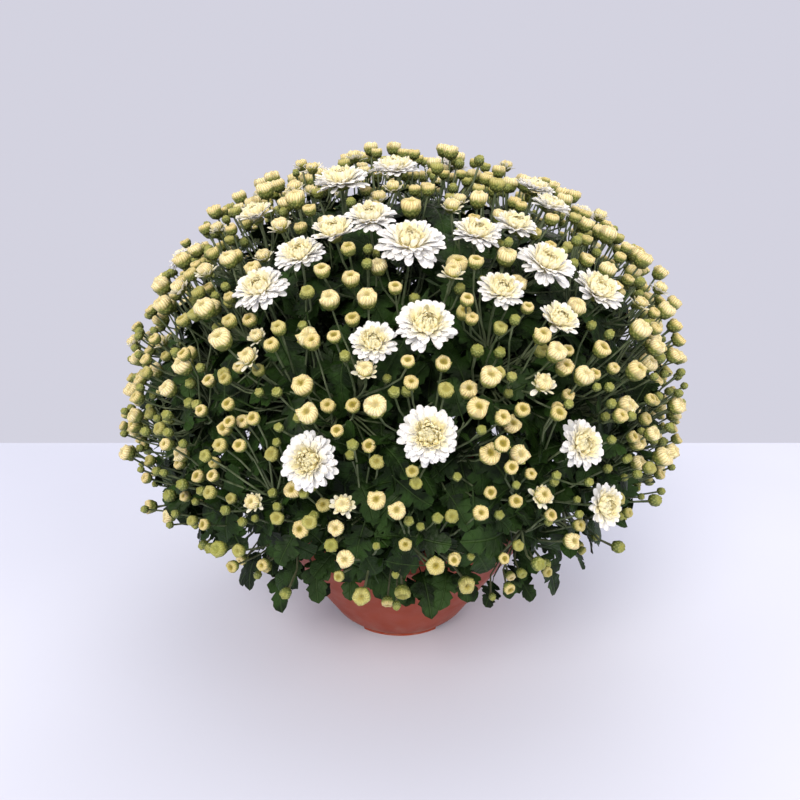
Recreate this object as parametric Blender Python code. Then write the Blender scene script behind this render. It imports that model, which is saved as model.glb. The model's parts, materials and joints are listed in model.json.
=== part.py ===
"""Pot chrysanthemum: a low round bush of leafy stems in a shallow plastic pot.

Metres, +Z up, origin in the middle of the pot's base. The camera side is -Y.
"""

import math
import random
from collections import namedtuple

import bmesh
import bpy
from mathutils import Matrix, Quaternion, Vector
from mathutils.bvhtree import BVHTree

# Pot
POT_BASE_RADIUS = 0.060
POT_FOOT_INSET = 0.0015
POT_FOOT_HEIGHT = 0.004
POT_CONE_RADIUS = 0.1335
POT_CONE_HEIGHT = 0.108
POT_RIM_RADIUS = 0.1375
POT_HEIGHT = 0.130
POT_WALL = 0.0028
POT_RIM_WALL = 0.0036
POT_FLOOR = 0.005
POT_SIDES = 24
DRAIN_COUNT = 4
DRAIN_RING_RADIUS = 0.034
DRAIN_RADIUS = 0.0045
NOTCH_COUNT = 4
NOTCH_WIDTH = 0.017
NOTCH_DEPTH = 0.009
NOTCH_HEIGHT = 0.0034

# Soil
SOIL_TOP = 0.117
SOIL_GAP = 0.0003
SOIL_HOLE_DEPTH = 0.030
SOIL_HOLE_RADIUS = 0.0044
SOIL_HOLE_SIDES = 4
SEAT_GAP = 0.0003

# Dome of heads
DOME_RADIUS = 0.242
DOME_RISE = 0.203
DOME_DROP = 0.130
DOME_CENTRE = 0.235
DOME_SQUARENESS = 3.6
DOME_LEAN = 0.045
DOME_LOWEST = math.radians(146.0)
FACING_LIFT = 0.7
GOLDEN_ANGLE = math.pi * (3.0 - math.sqrt(5.0))

# Stems, branches and stalks
STEM_COUNT = 20
STEM_START = 1.7
STEM_RADII = (0.0026, 0.0020)
STEM_SPREAD = 0.088
STEM_REACH = 0.54
STEM_STEPS = 5
OVER_RIM = 0.147
BRANCH_COUNT = 56
BRANCH_START = 1.7
BRANCH_RADII = (0.0018, 0.0015)
BRANCH_DEPTH = 0.058
BRANCH_STEPS = 2
STALK_RADII = (0.0011, 0.0009)
STALK_STEPS = 2
JOINT_SHARES = (0.80, 0.62, 0.92, 0.50, 0.71, 0.40)
STEM_SIDES = 4
STALK_SIDES = 3
BEND_STEP = 0.005
BEND_TRIES = 9

# Heads
HEAD_COUNT = 176
HEAD_SPACING = 0.022
STALK_LENGTH = 0.045
# Open blooms seen from the front: (azimuth, angle from the top, width in mm, openness)
FRONT_BLOOMS = (
    (-20, 31, 36, 0.8), (-2, 25, 32, 0.8), (-41, 42, 25, 0.5), (-14, 47, 26, 0.5),
    (-7, 43, 32, 0.9), (2, 49, 40, 1.0), (16, 47, 29, 0.8), (26, 45, 26, 0.7),
    (28, 54, 36, 0.9), (51, 32, 26, 0.7), (44, 39, 26, 0.7), (-20, 52, 30, 0.8),
    (-26, 59, 33, 0.9), (17, 59, 26, 0.7), (37, 60, 32, 0.7), (26, 65, 24, 0.5),
    (4, 65, 33, 0.8), (-4, 68, 25, 0.7), (-13, 88, 32, 0.9), (4, 83, 31, 0.8),
    (28, 87, 29, 0.8), (34, 96, 27, 0.6),
)
BACK_BLOOMS = 12
BACK_AZIMUTH = math.radians(76.0)
BACK_LOWEST = math.radians(118.0)
# Half-open cream heads seen from the front: (azimuth, angle from the top, width in mm)
FRONT_HALF_OPEN = (
    (-36, 15, 17), (-28, 46, 17), (9, 56, 16), (-5, 73, 16), (21, 92, 17), (21, 76, 17),
    (-8, 92, 16), (-24, 72, 17), (-50, 61, 17), (-69, 75, 16), (65, 62, 17), (-22, 93, 15),
)
BUD_WIDTHS = (0.0085, 0.0100, 0.0115, 0.0130, 0.0150)
BUD_SIDES = 4
TIGHT_BUD_WIDTH = 0.0105
CUP_SIDES = 5
OUTER_PETALS = 8
INNER_PETALS = 4

# Leaves
LEAF_COUNT = 112
LEAF_DEPTHS = (0.036, 0.056)
LEAF_POLAR = math.radians(121.0)
SKIRT_COUNT = 32
SKIRT_RADII = (0.150, 0.176)
SKIRT_HEIGHTS = (0.128, 0.112)
LEAF_REACH = 0.044
LEAF_SHORTEST = 0.064
LEAF_LONGEST = 0.096
LEAF_THICKNESS = 0.0009
LEAF_RISE = 0.0008
LEAF_TRIES = 7
LEAF_JOINT_TRIES = 8
LEAF_LOWEST = 0.085
JOINTS_PER_TWIG = 7
# Half outline of a leaf, from its root: (share of the length, half width over the length)
LEAF_OUTLINE = ((0.26, 0.030), (0.48, 0.35), (0.60, 0.20), (0.82, 0.28))
LEAF_CENTRE = 0.58
LEAF_GABLE = 0.12
LEAF_DROOP = 0.35
GAP = 0.0004

GREEN = (0.03, 0.09, 0.02)
WHITE = (0.93, 0.90, 0.80)
TERRACOTTA = (0.42, 0.12, 0.075)
SOIL_BROWN = (0.035, 0.022, 0.014)

UP = Vector((0.0, 0.0, 1.0))
Head = namedtuple("Head", "place facing width openness kind")
Twig = namedtuple("Twig", "name node path radii sides head")
Piece = namedtuple("Piece", "name node skin tree middle size")


def clear_scene():
    """Removes what the scene holds."""
    for obj in list(bpy.data.objects):
        bpy.data.objects.remove(obj, do_unlink=True)


def material(name, colour, roughness):
    """A plain Principled material."""
    made = bpy.data.materials.new(name)
    made.use_nodes = True
    shader = made.node_tree.nodes["Principled BSDF"]
    shader.inputs["Base Color"].default_value = (*colour, 1.0)
    shader.inputs["Roughness"].default_value = roughness
    shader.inputs["Metallic"].default_value = 0.0
    return made


# The dome that the heads stand on

def dome_section(polar):
    """(radius, height) of the dome at this angle from its top."""
    across, along = math.sin(polar), math.cos(polar)
    if along >= 0.0:
        return DOME_RADIUS * across, DOME_CENTRE + DOME_RISE * along
    power = 2.0 / DOME_SQUARENESS
    return DOME_RADIUS * across ** power, DOME_CENTRE - DOME_DROP * (-along) ** power


def outward(azimuth):
    """Level unit vector at this azimuth: 0 is the front, and a quarter turn is +X."""
    return Vector((math.sin(azimuth), -math.cos(azimuth), 0.0))


def dome_frame(azimuth, polar, depth=0.0):
    """(place, outward normal) on the dome, this far under its surface."""
    step = 0.01
    radius, height = dome_section(polar)
    before, after = dome_section(max(polar - step, 0.0)), dome_section(polar + step)
    run, fall = after[0] - before[0], after[1] - before[1]
    size = math.hypot(run, fall)
    radius *= 1.0 + DOME_LEAN * math.sin(azimuth) * max(math.sin(2.0 * polar), 0.0)
    normal = outward(azimuth) * (-fall / size) + UP * (run / size)
    return outward(azimuth) * radius + UP * height - normal * depth, normal


def even_polars(count):
    """Angles from the top that share the dome's area evenly."""
    steps = 240
    areas = [0.0]
    for k in range(steps):
        near = dome_section(DOME_LOWEST * k / steps)
        far = dome_section(DOME_LOWEST * (k + 1) / steps)
        band = math.hypot(far[0] - near[0], far[1] - near[1]) * (far[0] + near[0])
        areas.append(areas[-1] + band)
    polars, k = [], 0
    for index in range(count):
        wanted = areas[-1] * (index + 0.5) / count
        while areas[k + 1] < wanted:
            k += 1
        share = (wanted - areas[k]) / (areas[k + 1] - areas[k])
        polars.append(DOME_LOWEST * (k + share) / steps)
    return polars


def spiral(count, start):
    """(azimuth, angle from the top) of each point of an even spiral over the dome."""
    return [((start + k * GOLDEN_ANGLE) % (2.0 * math.pi), polar)
            for k, polar in enumerate(even_polars(count))]


# Heads

def make_head(azimuth, polar, width, openness, kind, depth=0.0):
    """A flower head on the dome that faces outwards and up."""
    place, normal = dome_frame(azimuth, polar, depth)
    return Head(place, (normal + UP * FACING_LIFT).normalized(), width, openness, kind)


def bloom_name(index):
    """Name of the bloom that this head carries if it is open: the blooms come first."""
    return f"bloom_{index + 1:02d}"


def is_free(head, heads):
    """Whether a head keeps its distance from the others."""
    return all((head.place - other.place).length > HEAD_SPACING + 0.3 * (head.width + other.width)
               for other in heads)


def chosen_heads():
    """The open blooms and the half-open heads seen from the front."""
    heads = [make_head(math.radians(azimuth), math.radians(polar), width / 1000.0, openness, "bloom")
             for azimuth, polar, width, openness in FRONT_BLOOMS]
    heads += [make_head(math.radians(azimuth), math.radians(polar), width / 1000.0, 0.3, "half_open")
              for azimuth, polar, width in FRONT_HALF_OPEN]
    return heads


def back_blooms(heads):
    """Open blooms for the sides and the back, spread by rule."""
    found = []
    for k, (azimuth, polar) in enumerate(spiral(3 * BACK_BLOOMS, 2.1)):
        draw = random.Random(500 + k)
        head = make_head(azimuth, polar, draw.uniform(0.026, 0.037), draw.uniform(0.6, 1.0), "bloom")
        at_front = abs(math.remainder(azimuth, 2.0 * math.pi)) < BACK_AZIMUTH
        if not at_front and polar < BACK_LOWEST and is_free(head, heads):
            found.append(head)
    return found[:BACK_BLOOMS]


def bud_heads(heads):
    """Buds and half-open heads over the whole dome, clear of the blooms."""
    found = []
    for k, (azimuth, polar) in enumerate(spiral(HEAD_COUNT, 0.4)):
        draw = random.Random(900 + k)
        width = draw.choice(BUD_WIDTHS)
        head = make_head(azimuth + draw.uniform(-0.05, 0.05), polar + draw.uniform(-0.03, 0.03),
                         width, 0.0, "bud", depth=draw.uniform(-0.003, 0.012))
        if is_free(head, heads):
            found.append(head)
    return found


# Paths of stems, branches and stalks

def curve_points(start, start_pull, end_pull, end, count):
    """Points along a cubic curve."""
    points = []
    for k in range(count + 1):
        t = k / count
        s = 1.0 - t
        points.append(start * s ** 3 + start_pull * (3 * s * s * t)
                      + end_pull * (3 * s * t * t) + end * t ** 3)
    return points


def stem_paths():
    """The main stems: each leaves its hole in the soil and ends under its part of the dome."""
    paths = []
    for azimuth, polar in spiral(STEM_COUNT, STEM_START):
        spread = STEM_SPREAD * (polar / DOME_LOWEST) ** 0.8
        root = outward(azimuth) * spread + UP * (SOIL_TOP - SOIL_HOLE_DEPTH + SEAT_GAP)
        mouth = outward(azimuth) * spread + UP * (SOIL_TOP + 0.003)
        place, normal = dome_frame(azimuth, polar)
        crown = outward(azimuth) * spread * 0.9 + UP * (SOIL_TOP + 0.035)
        end = crown.lerp(place, STEM_REACH)
        end.z = max(end.z, OVER_RIM)
        heading = (normal + UP * (1.0 - 0.5 * max(0.0, math.cos(polar)))).normalized()
        paths.append([root] + curve_points(mouth, mouth + UP * 0.040, end - heading * 0.045, end,
                                           STEM_STEPS - 1))
    return paths


def nearest(place, ends):
    """Index of the end that is nearest to this place."""
    return min(range(len(ends)), key=lambda k: (ends[k] - place).length)


def grouped(places, ends):
    """For each end, the indices of the places nearest to it."""
    groups = [[] for _ in ends]
    for k, place in enumerate(places):
        groups[nearest(place, ends)].append(k)
    return groups


def heading_of(path):
    """Unit direction in which a path ends."""
    return (path[-1] - path[-2]).normalized()


def point_along(path, share):
    """(place, direction) at this share of a path's steps."""
    along = share * (len(path) - 1)
    low = min(int(along), len(path) - 2)
    return path[low].lerp(path[low + 1], along - low), (path[low + 1] - path[low]).normalized()


def onward_path(start, leave, end, arrive, steps, bend):
    """A curve from a parent to its end, bent sideways by so much."""
    length = (end - start).length
    aside = leave.cross(end - start)
    aside = (aside if aside.length > 1e-6 else leave.orthogonal()).normalized() * bend
    return curve_points(start, start + leave * length * 0.33 + aside,
                        end - arrive * length * 0.36 + aside, end, steps)


def steps_between(pair, count):
    """Values that run evenly from one to the other."""
    return [pair[0] + (pair[1] - pair[0]) * k / count for k in range(count + 1)]


def head_foot(head):
    """Where a head's stalk ends."""
    return head.place - head.facing * 0.003 if head.kind == "bloom" else head.place


# Closed skins

class Skin:
    """A closed mesh that grows ring by ring."""

    def __init__(self):
        self.points = []
        self.faces = []

    def ring(self, points):
        """Adds points and gives their indices."""
        first = len(self.points)
        self.points.extend(points)
        return list(range(first, len(self.points)))

    def bridge(self, one, other):
        """Joins two rings, which may differ in their number of points."""
        i, j = 0, 0
        while i < len(one) or j < len(other):
            a, b = one[i % len(one)], other[j % len(other)]
            if j == len(other) or (i < len(one) and (i + 0.5) / len(one) <= (j + 0.5) / len(other)):
                i += 1
                self.faces.append((a, one[i % len(one)], b))
            else:
                j += 1
                self.faces.append((a, other[j % len(other)], b))

    def cap(self, ring, pole=None):
        """Closes a ring, flat or to one point."""
        if pole is None:
            self.faces.extend((ring[0], ring[k], ring[k + 1]) for k in range(1, len(ring) - 1))
            return
        tip = self.ring([pole])[0]
        self.faces.extend((ring[k], ring[(k + 1) % len(ring)], tip) for k in range(len(ring)))

    def to_object(self, name):
        """A mesh object with its faces pointing out."""
        mesh = bpy.data.meshes.new(name)
        mesh.from_pydata([tuple(p) for p in self.points], [], self.faces)
        shell = bmesh.new()
        shell.from_mesh(mesh)
        bmesh.ops.recalc_face_normals(shell, faces=shell.faces)
        shell.to_mesh(mesh)
        shell.free()
        obj = bpy.data.objects.new(name, mesh)
        bpy.context.scene.collection.objects.link(obj)
        return obj


def circle(centre, axis, side, radius, count, turn=0.0):
    """Points of a regular polygon round an axis."""
    other = axis.cross(side)
    return [centre + (side * math.cos(turn + 2.0 * math.pi * k / count)
                      + other * math.sin(turn + 2.0 * math.pi * k / count)) * radius
            for k in range(count)]


def tube(skin, twig, swell):
    """Adds an open tube along a twig and gives its first and last ring and its side vector."""
    path = twig.path
    side = (path[1] - path[0]).orthogonal().normalized()
    first = last = None
    for k, point in enumerate(path):
        axis = (path[min(k + 1, len(path) - 1)] - path[max(k - 1, 0)]).normalized()
        side = (side - axis * side.dot(axis)).normalized()
        ring = skin.ring(circle(point, axis, side, twig.radii[k] + swell, twig.sides[k]))
        if last is not None:
            skin.bridge(last, ring)
        first, last = first or ring, ring
    return first, last, side


def twig_skin(twig, swell=0.0):
    """A stem, branch or stalk with what it ends in: a bud, or the green cup under a bloom."""
    skin = Skin()
    first, last, side = tube(skin, twig, swell)
    skin.cap(first)
    head, foot = twig.head, twig.path[-1]
    axis = head.facing
    side = (side - axis * side.dot(axis)).normalized()
    if head.kind == "bloom":
        rim = skin.ring(circle(foot + axis * (0.003 + swell), axis, side,
                               head.width * 0.15 + swell, CUP_SIDES))
        skin.bridge(last, rim)
        skin.cap(rim)
        return skin
    radius = head.width / 2.0 + swell
    height = radius * 1.5
    cup = skin.ring(circle(foot + axis * height * 0.46, axis, side, radius, BUD_SIDES))
    skin.bridge(last, cup)
    if head.width < TIGHT_BUD_WIDTH:
        skin.cap(cup, foot + axis * height)
        return skin
    rim = skin.ring(circle(foot + axis * height, axis, side, radius * 0.66, BUD_SIDES))
    skin.bridge(cup, rim)
    skin.cap(rim, foot + axis * height * 0.84)
    return skin


def petal_ring(head, count, tip, valley, turn):
    """Points of a ring of blunt petals; tip and valley are (radius, height) over the reach."""
    axis = head.facing
    side = axis.orthogonal().normalized()
    other = axis.cross(side)
    reach = head.width / 2.0
    points = []
    for k in range(count):
        middle = turn + 2.0 * math.pi * k / count
        lift = 0.05 * math.sin(4.0 * middle + 1.0)
        for share, (radius, height) in ((-0.22, tip), (0.22, tip), (0.5, valley)):
            angle = middle + share * 2.0 * math.pi / count
            rise = height + (lift if share < 0.4 else 0.0)
            points.append(head.place + axis * (SEAT_GAP + reach * rise)
                          + (side * math.cos(angle) + other * math.sin(angle)) * reach * radius)
    return points


def bloom_skin(head, swell=0.0):
    """An open bloom: an outer and an inner ring of petals round a hollow of florets."""
    grown = head._replace(width=head.width + 2.0 * swell)
    skin = Skin()
    axis = head.facing
    side = axis.orthogonal().normalized()
    reach, flat = grown.width / 2.0, head.openness

    def level(height, radius, count):
        return skin.ring(circle(head.place + axis * (SEAT_GAP - swell + reach * height), axis, side,
                                reach * radius, count))

    under = level(0.0, 0.24, CUP_SIDES)
    outer = skin.ring(petal_ring(grown, OUTER_PETALS, (1.0, 0.62 - 0.42 * flat),
                                 (0.58, 0.30), 0.0))
    throat = level(0.42, 0.46, OUTER_PETALS)
    inner = skin.ring(petal_ring(grown, INNER_PETALS, (0.72, 0.88 - 0.30 * flat),
                                 (0.46, 0.62), 0.3))
    hollow = level(0.56, 0.34, CUP_SIDES)
    skin.cap(under)
    for one, other in ((under, outer), (outer, throat), (throat, inner), (inner, hollow)):
        skin.bridge(one, other)
    skin.cap(hollow, head.place + axis * (SEAT_GAP + reach * 0.74))
    return skin


def leaf_skin(root, heading, upper, length, swell=0.0):
    """A lobed leaf with a gable along its rib, drooping from its middle on."""
    skin = Skin()
    across = heading.cross(upper).normalized()
    face = across.cross(heading).normalized()

    def place(share, width, lift):
        fall = LEAF_DROOP * max(0.0, share - LEAF_CENTRE) + LEAF_GABLE * abs(width)
        return (root + heading * (share * length) + across * (width * length)
                + face * (lift - fall * length))

    half = LEAF_THICKNESS / 2.0 + swell
    top, bottom, centre, tip = skin.ring([place(0.0, 0.0, half), place(0.0, 0.0, -half),
                                          place(LEAF_CENTRE, 0.0, half + LEAF_RISE),
                                          place(1.0, 0.0, -half)])
    sides = [skin.ring([place(share, sign * (width + swell / length), -half)
                        for share, width in LEAF_OUTLINE]) for sign in (-1.0, 1.0)]
    for neck, lobe, notch, shoulder in sides:
        skin.faces.extend(((top, neck, centre), (neck, lobe, centre), (lobe, notch, centre),
                           (notch, shoulder, centre), (shoulder, tip, centre),
                           (top, bottom, neck), (neck, notch, lobe), (notch, tip, shoulder)))
    left, right = sides
    skin.faces.extend(((bottom, left[0], right[0]), (left[0], left[2], right[0]),
                       (left[2], right[2], right[0]), (left[2], tip, right[2])))
    return skin


# Placing pieces clear of each other

def piece_of(name, node, skin):
    """A skin with what tells whether it crosses another."""
    tree = BVHTree.FromPolygons([tuple(p) for p in skin.points], skin.faces)
    middle = sum(skin.points, Vector()) / len(skin.points)
    return Piece(name, node, skin, tree, middle, max((p - middle).length for p in skin.points))


class Bush:
    """Every piece placed so far, with the node that it belongs to."""

    def __init__(self):
        self.pieces = []

    def clear_of(self, skin, ignored):
        """Whether a skin crosses no placed piece, apart from those named."""
        probe = piece_of("probe", None, skin)
        for piece in self.pieces:
            if piece.name in ignored or (probe.middle - piece.middle).length > probe.size + piece.size:
                continue
            if probe.tree.overlap(piece.tree):
                return False
        return True

    def add(self, name, node, skin):
        """Keeps a piece."""
        self.pieces.append(piece_of(name, node, skin))

    def add_twig(self, make, ignored):
        """Keeps a twig in the first of its bends that is clear, and gives it."""
        for attempt in range(BEND_TRIES):
            twig = make((attempt + 1) // 2 * BEND_STEP * (-1) ** attempt)
            if self.clear_of(twig_skin(twig, GAP), ignored):
                self.add(twig.name, twig.node, twig_skin(twig))
                return twig
        return None


class Growth:
    """Grows the stems with their branches, and the stalks with their heads."""

    def __init__(self, bush, heads):
        self.bush = bush
        self.heads = heads
        self.stems = stem_paths()
        self.tips = [dome_frame(azimuth, polar, BRANCH_DEPTH)
                     for azimuth, polar in spiral(BRANCH_COUNT, BRANCH_START)]
        tip_places = [place for place, _ in self.tips]
        self.tips_of = grouped(tip_places, [path[-1] for path in self.stems])
        self.heads_of = grouped([head.place - head.facing * STALK_LENGTH for head in heads],
                                tip_places)
        self.twigs = []

    def leader(self, tip):
        """Index of the head that carries on straightest from a branch's tip."""
        place, normal = self.tips[tip]
        return max(self.heads_of[tip],
                   key=lambda h: (self.heads[h].place - place).normalized().dot(normal))

    def twig(self, node, tip, share, with_stem, bend):
        """A branch with its leading head, from its stem or as the end of its stem."""
        path = self.stems[node]
        place, normal = self.tips[tip]
        head = self.heads[self.leader(tip)]
        arrive = (normal + UP * 0.6).normalized()
        if with_stem:
            start, leave = path[-1], heading_of(path)
            limb, radii = list(path[:-1]), steps_between(STEM_RADII, STEM_STEPS)[:-1]
            radii += steps_between((STEM_RADII[1], BRANCH_RADII[1]), BRANCH_STEPS)
        else:
            start, along = point_along(path, share)
            leave = (along + (place - start).normalized()).normalized()
            limb, radii = [], steps_between(BRANCH_RADII, BRANCH_STEPS)
        limb += onward_path(start, leave, place, arrive, BRANCH_STEPS, bend)
        sides = [STEM_SIDES] * len(limb) + [STALK_SIDES] * STALK_STEPS
        limb += onward_path(place, heading_of(limb), head_foot(head), head.facing,
                            STALK_STEPS, bend)[1:]
        radii += steps_between(STALK_RADII, STALK_STEPS)[1:]
        return Twig(f"twig_{tip:02d}", node, limb, radii, sides, head)

    def stalk(self, twig, trunk, share, index, bend):
        """A side stalk with its head."""
        head = self.heads[index]
        start, along = point_along(trunk, share)
        foot = head_foot(head)
        leave = (along + (foot - start).normalized()).normalized()
        return Twig(f"stalk_{index}", twig.node,
                    onward_path(start, leave, foot, head.facing, STALK_STEPS, bend),
                    steps_between(STALK_RADII, STALK_STEPS), [STALK_SIDES] * (STALK_STEPS + 1), head)

    def grow_stem(self, node):
        """Places one stem with its branches and heads."""
        end = self.stems[node][-1]
        ahead = heading_of(self.stems[node])
        family = sorted((tip for tip in self.tips_of[node] if self.heads_of[tip]),
                        key=lambda tip: -(self.tips[tip][0] - end).normalized().dot(ahead))
        names = set()
        for rank, tip in enumerate(family):
            share = JOINT_SHARES[rank % len(JOINT_SHARES)]
            twig = self.bush.add_twig(
                lambda bend: self.twig(node, tip, share, not names, bend),
                names | {bloom_name(self.leader(tip))})
            if twig is not None:
                names.add(twig.name)
                self.twigs.append(twig)
                self.grow_stalks(twig, tip)

    def grow_stalks(self, twig, tip):
        """Places the side stalks of a branch."""
        trunk = twig.path[:-STALK_STEPS][-(BRANCH_STEPS + 1):]
        others = [index for index in self.heads_of[tip] if index != self.leader(tip)]
        for rank, index in enumerate(others):
            share = JOINT_SHARES[rank % len(JOINT_SHARES)]
            stalk = self.bush.add_twig(
                lambda bend: self.stalk(twig, trunk, share, index, bend),
                {twig.name, bloom_name(index)})
            if stalk is not None:
                self.twigs.append(stalk)


def leaf_joints(twigs):
    """(twig, share of its path, place) of each joint that may bear a leaf."""
    joints = []
    for twig in twigs:
        steps = len(twig.path) - 1
        if steps <= STALK_STEPS:
            continue
        low, high = max(0, steps - STALK_STEPS - BRANCH_STEPS - 2), steps - STALK_STEPS
        for k in range(JOINTS_PER_TWIG):
            share = (low + (high - low) * (k + 0.5) / JOINTS_PER_TWIG) / steps
            joints.append((twig, share, point_along(twig.path, share)[0]))
    return joints


def place_leaf(bush, name, joints, target, normal):
    """Puts a leaf over the target from one of the nearest joints, bent aside until it is clear."""
    def cost(joint):
        way = target - joint[2]
        return abs(way.length - LEAF_REACH) - 0.4 * min(way.dot(normal), 0.012)

    for twig, _, root in sorted(joints, key=cost)[:LEAF_JOINT_TRIES]:
        way = target - root
        length = min(max(way.length / LEAF_CENTRE, LEAF_SHORTEST), LEAF_LONGEST)
        for attempt in range(LEAF_TRIES):
            swing = (attempt + 1) // 2 * 0.28 * (-1) ** attempt
            heading = Quaternion(normal, swing) @ way.normalized()
            size = length * (1.0 - 0.03 * attempt)
            probe = leaf_skin(root, heading, normal + UP * 0.25, size * 1.02, GAP)
            if min(p.z for p in probe.points) > LEAF_LOWEST and bush.clear_of(probe, {twig.name}):
                bush.add(name, twig.node, leaf_skin(root, heading, normal + UP * 0.25, size))
                return


def add_leaves(bush, twigs):
    """Covers the inside of the dome with leaves that overlap from above and from the side."""
    joints = leaf_joints(twigs)
    for k in range(SKIRT_COUNT):
        draw = random.Random(1200 + k)
        side = outward(0.2 + k * GOLDEN_ANGLE)
        share = draw.random()
        target = (side * (SKIRT_RADII[0] + share * (SKIRT_RADII[1] - SKIRT_RADII[0]))
                  + UP * (SKIRT_HEIGHTS[0] + share * (SKIRT_HEIGHTS[1] - SKIRT_HEIGHTS[0])))
        place_leaf(bush, f"skirt_leaf_{k}", joints, target, (side + UP * 0.5).normalized())
    for k, (azimuth, polar) in enumerate(spiral(LEAF_COUNT, 2.6)):
        if polar < LEAF_POLAR:
            draw = random.Random(1300 + k)
            target, normal = dome_frame(azimuth, polar, draw.uniform(*LEAF_DEPTHS))
            place_leaf(bush, f"leaf_{k}", joints, target, normal)


def fill_bush():
    """Places every piece of the plant, and gives them with the heads in bloom."""
    bush = Bush()
    bush.add("pot_block", "pot_block", pot_block())
    heads = chosen_heads()
    heads = heads[:len(FRONT_BLOOMS)] + back_blooms(heads) + heads[len(FRONT_BLOOMS):]
    heads += bud_heads(heads)
    blooms = [head for head in heads if head.kind == "bloom"]
    for k, head in enumerate(blooms):
        bush.add(bloom_name(k), bloom_name(k), bloom_skin(head))
    growth = Growth(bush, heads)
    for node in range(STEM_COUNT):
        growth.grow_stem(node)
    add_leaves(bush, growth.twigs)
    return bush, blooms


# Solids

def pot_block():
    """The outside of the pot and its soil, which leaves and stalks keep clear of."""
    skin = Skin()
    inside = POT_RIM_RADIUS - POT_RIM_WALL
    rings = [skin.ring(circle(UP * height, UP, Vector((1.0, 0.0, 0.0)), radius, POT_SIDES))
             for radius, height in ((POT_BASE_RADIUS, 0.0),
                                    (POT_CONE_RADIUS + 0.001, POT_CONE_HEIGHT),
                                    (POT_RIM_RADIUS + 0.001, POT_HEIGHT + 0.001),
                                    (inside - 0.001, POT_HEIGHT + 0.001), (inside, SOIL_TOP))]
    for one, other in zip(rings, rings[1:]):
        skin.bridge(one, other)
    return skin


def turned(name, profile, sides):
    """A solid turned about the pot's axis from its half section, closed by a flat face at each end."""
    shell = bmesh.new()
    rings = [[shell.verts.new(point) for point in circle(UP * height, UP, Vector((1.0, 0.0, 0.0)),
                                                         radius, sides)]
             for radius, height in profile]
    for low, high in zip(rings, rings[1:]):
        for k in range(sides):
            shell.faces.new((low[k], low[(k + 1) % sides], high[(k + 1) % sides], high[k]))
    shell.faces.new(rings[0])
    shell.faces.new(rings[-1])
    bmesh.ops.recalc_face_normals(shell, faces=shell.faces)
    mesh = bpy.data.meshes.new(name)
    shell.to_mesh(mesh)
    shell.free()
    mesh.shade_smooth()
    mesh.set_sharp_from_angle(angle=math.radians(35.0))
    obj = bpy.data.objects.new(name, mesh)
    bpy.context.scene.collection.objects.link(obj)
    return obj


def prism(name, place, turn, sides, size):
    """A standing prism, used as a cutter; size is (length, width, height)."""
    outline = []
    for k in range(sides):
        angle = math.pi * (2 * k + 1) / sides
        x, y = math.cos(angle) * size[0] / 2.0, math.sin(angle) * size[1] / 2.0
        outline.append(Vector((x * math.cos(turn) - y * math.sin(turn),
                               x * math.sin(turn) + y * math.cos(turn), 0.0)))
    skin = Skin()
    low = skin.ring([place + point - UP * size[2] / 2.0 for point in outline])
    high = skin.ring([place + point + UP * size[2] / 2.0 for point in outline])
    skin.bridge(low, high)
    skin.cap(low)
    skin.cap(high)
    return skin.to_object(name)


def cut(obj, cutters):
    """Cuts shapes from an object; they stay, hidden from renders."""
    group = bpy.data.collections.new(obj.name + "_cutters")
    bpy.context.scene.collection.children.link(group)
    for cutter in cutters:
        bpy.context.scene.collection.objects.unlink(cutter)
        group.objects.link(cutter)
        cutter.hide_render = True
        cutter.display_type = "WIRE"
    modifier = obj.modifiers.new("cut", "BOOLEAN")
    modifier.operation = "DIFFERENCE"
    modifier.operand_type = "COLLECTION"
    modifier.collection = group
    modifier.solver = "EXACT"


def inner_radius(height):
    """Radius of the pot's inside at this height."""
    share = height / POT_CONE_HEIGHT
    return POT_BASE_RADIUS + (POT_CONE_RADIUS - POT_BASE_RADIUS) * share - POT_WALL


def make_pot():
    """The shallow pot: foot, slanted wall, rim band, drain holes and notches in the foot."""
    foot = POT_BASE_RADIUS - POT_FOOT_INSET
    inside = POT_RIM_RADIUS - POT_RIM_WALL
    pot = turned("pot", (
        (foot, 0.0),
        (foot, POT_FOOT_HEIGHT),
        (POT_BASE_RADIUS + 0.002, POT_FOOT_HEIGHT + 0.001),
        (POT_CONE_RADIUS, POT_CONE_HEIGHT),
        (POT_RIM_RADIUS - 0.001, POT_CONE_HEIGHT + 0.002),
        (POT_RIM_RADIUS, POT_HEIGHT - 0.002),
        (POT_RIM_RADIUS - 0.0012, POT_HEIGHT),
        (inside, POT_HEIGHT),
        (inner_radius(POT_CONE_HEIGHT), POT_CONE_HEIGHT),
        (inner_radius(POT_FLOOR), POT_FLOOR),
    ), POT_SIDES)
    cutters = []
    for k in range(DRAIN_COUNT):
        place = outward(2.0 * math.pi * k / DRAIN_COUNT) * DRAIN_RING_RADIUS
        size = (2.0 * DRAIN_RADIUS, 2.0 * DRAIN_RADIUS, 0.02)
        cutters.append(prism(f"drain_{k}", place, 0.1, 6, size))
    for k in range(NOTCH_COUNT):
        angle = 2.0 * math.pi * (k + 0.5) / NOTCH_COUNT
        size = (NOTCH_WIDTH * math.sqrt(2.0), NOTCH_DEPTH * math.sqrt(2.0), 2.0 * NOTCH_HEIGHT)
        cutters.append(prism(f"notch_{k}", outward(angle) * (foot + 0.001), angle, 4, size))
    cut(pot, cutters)
    pot.data.materials.append(material("terracotta_plastic", TERRACOTTA, 0.55))
    return pot


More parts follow.
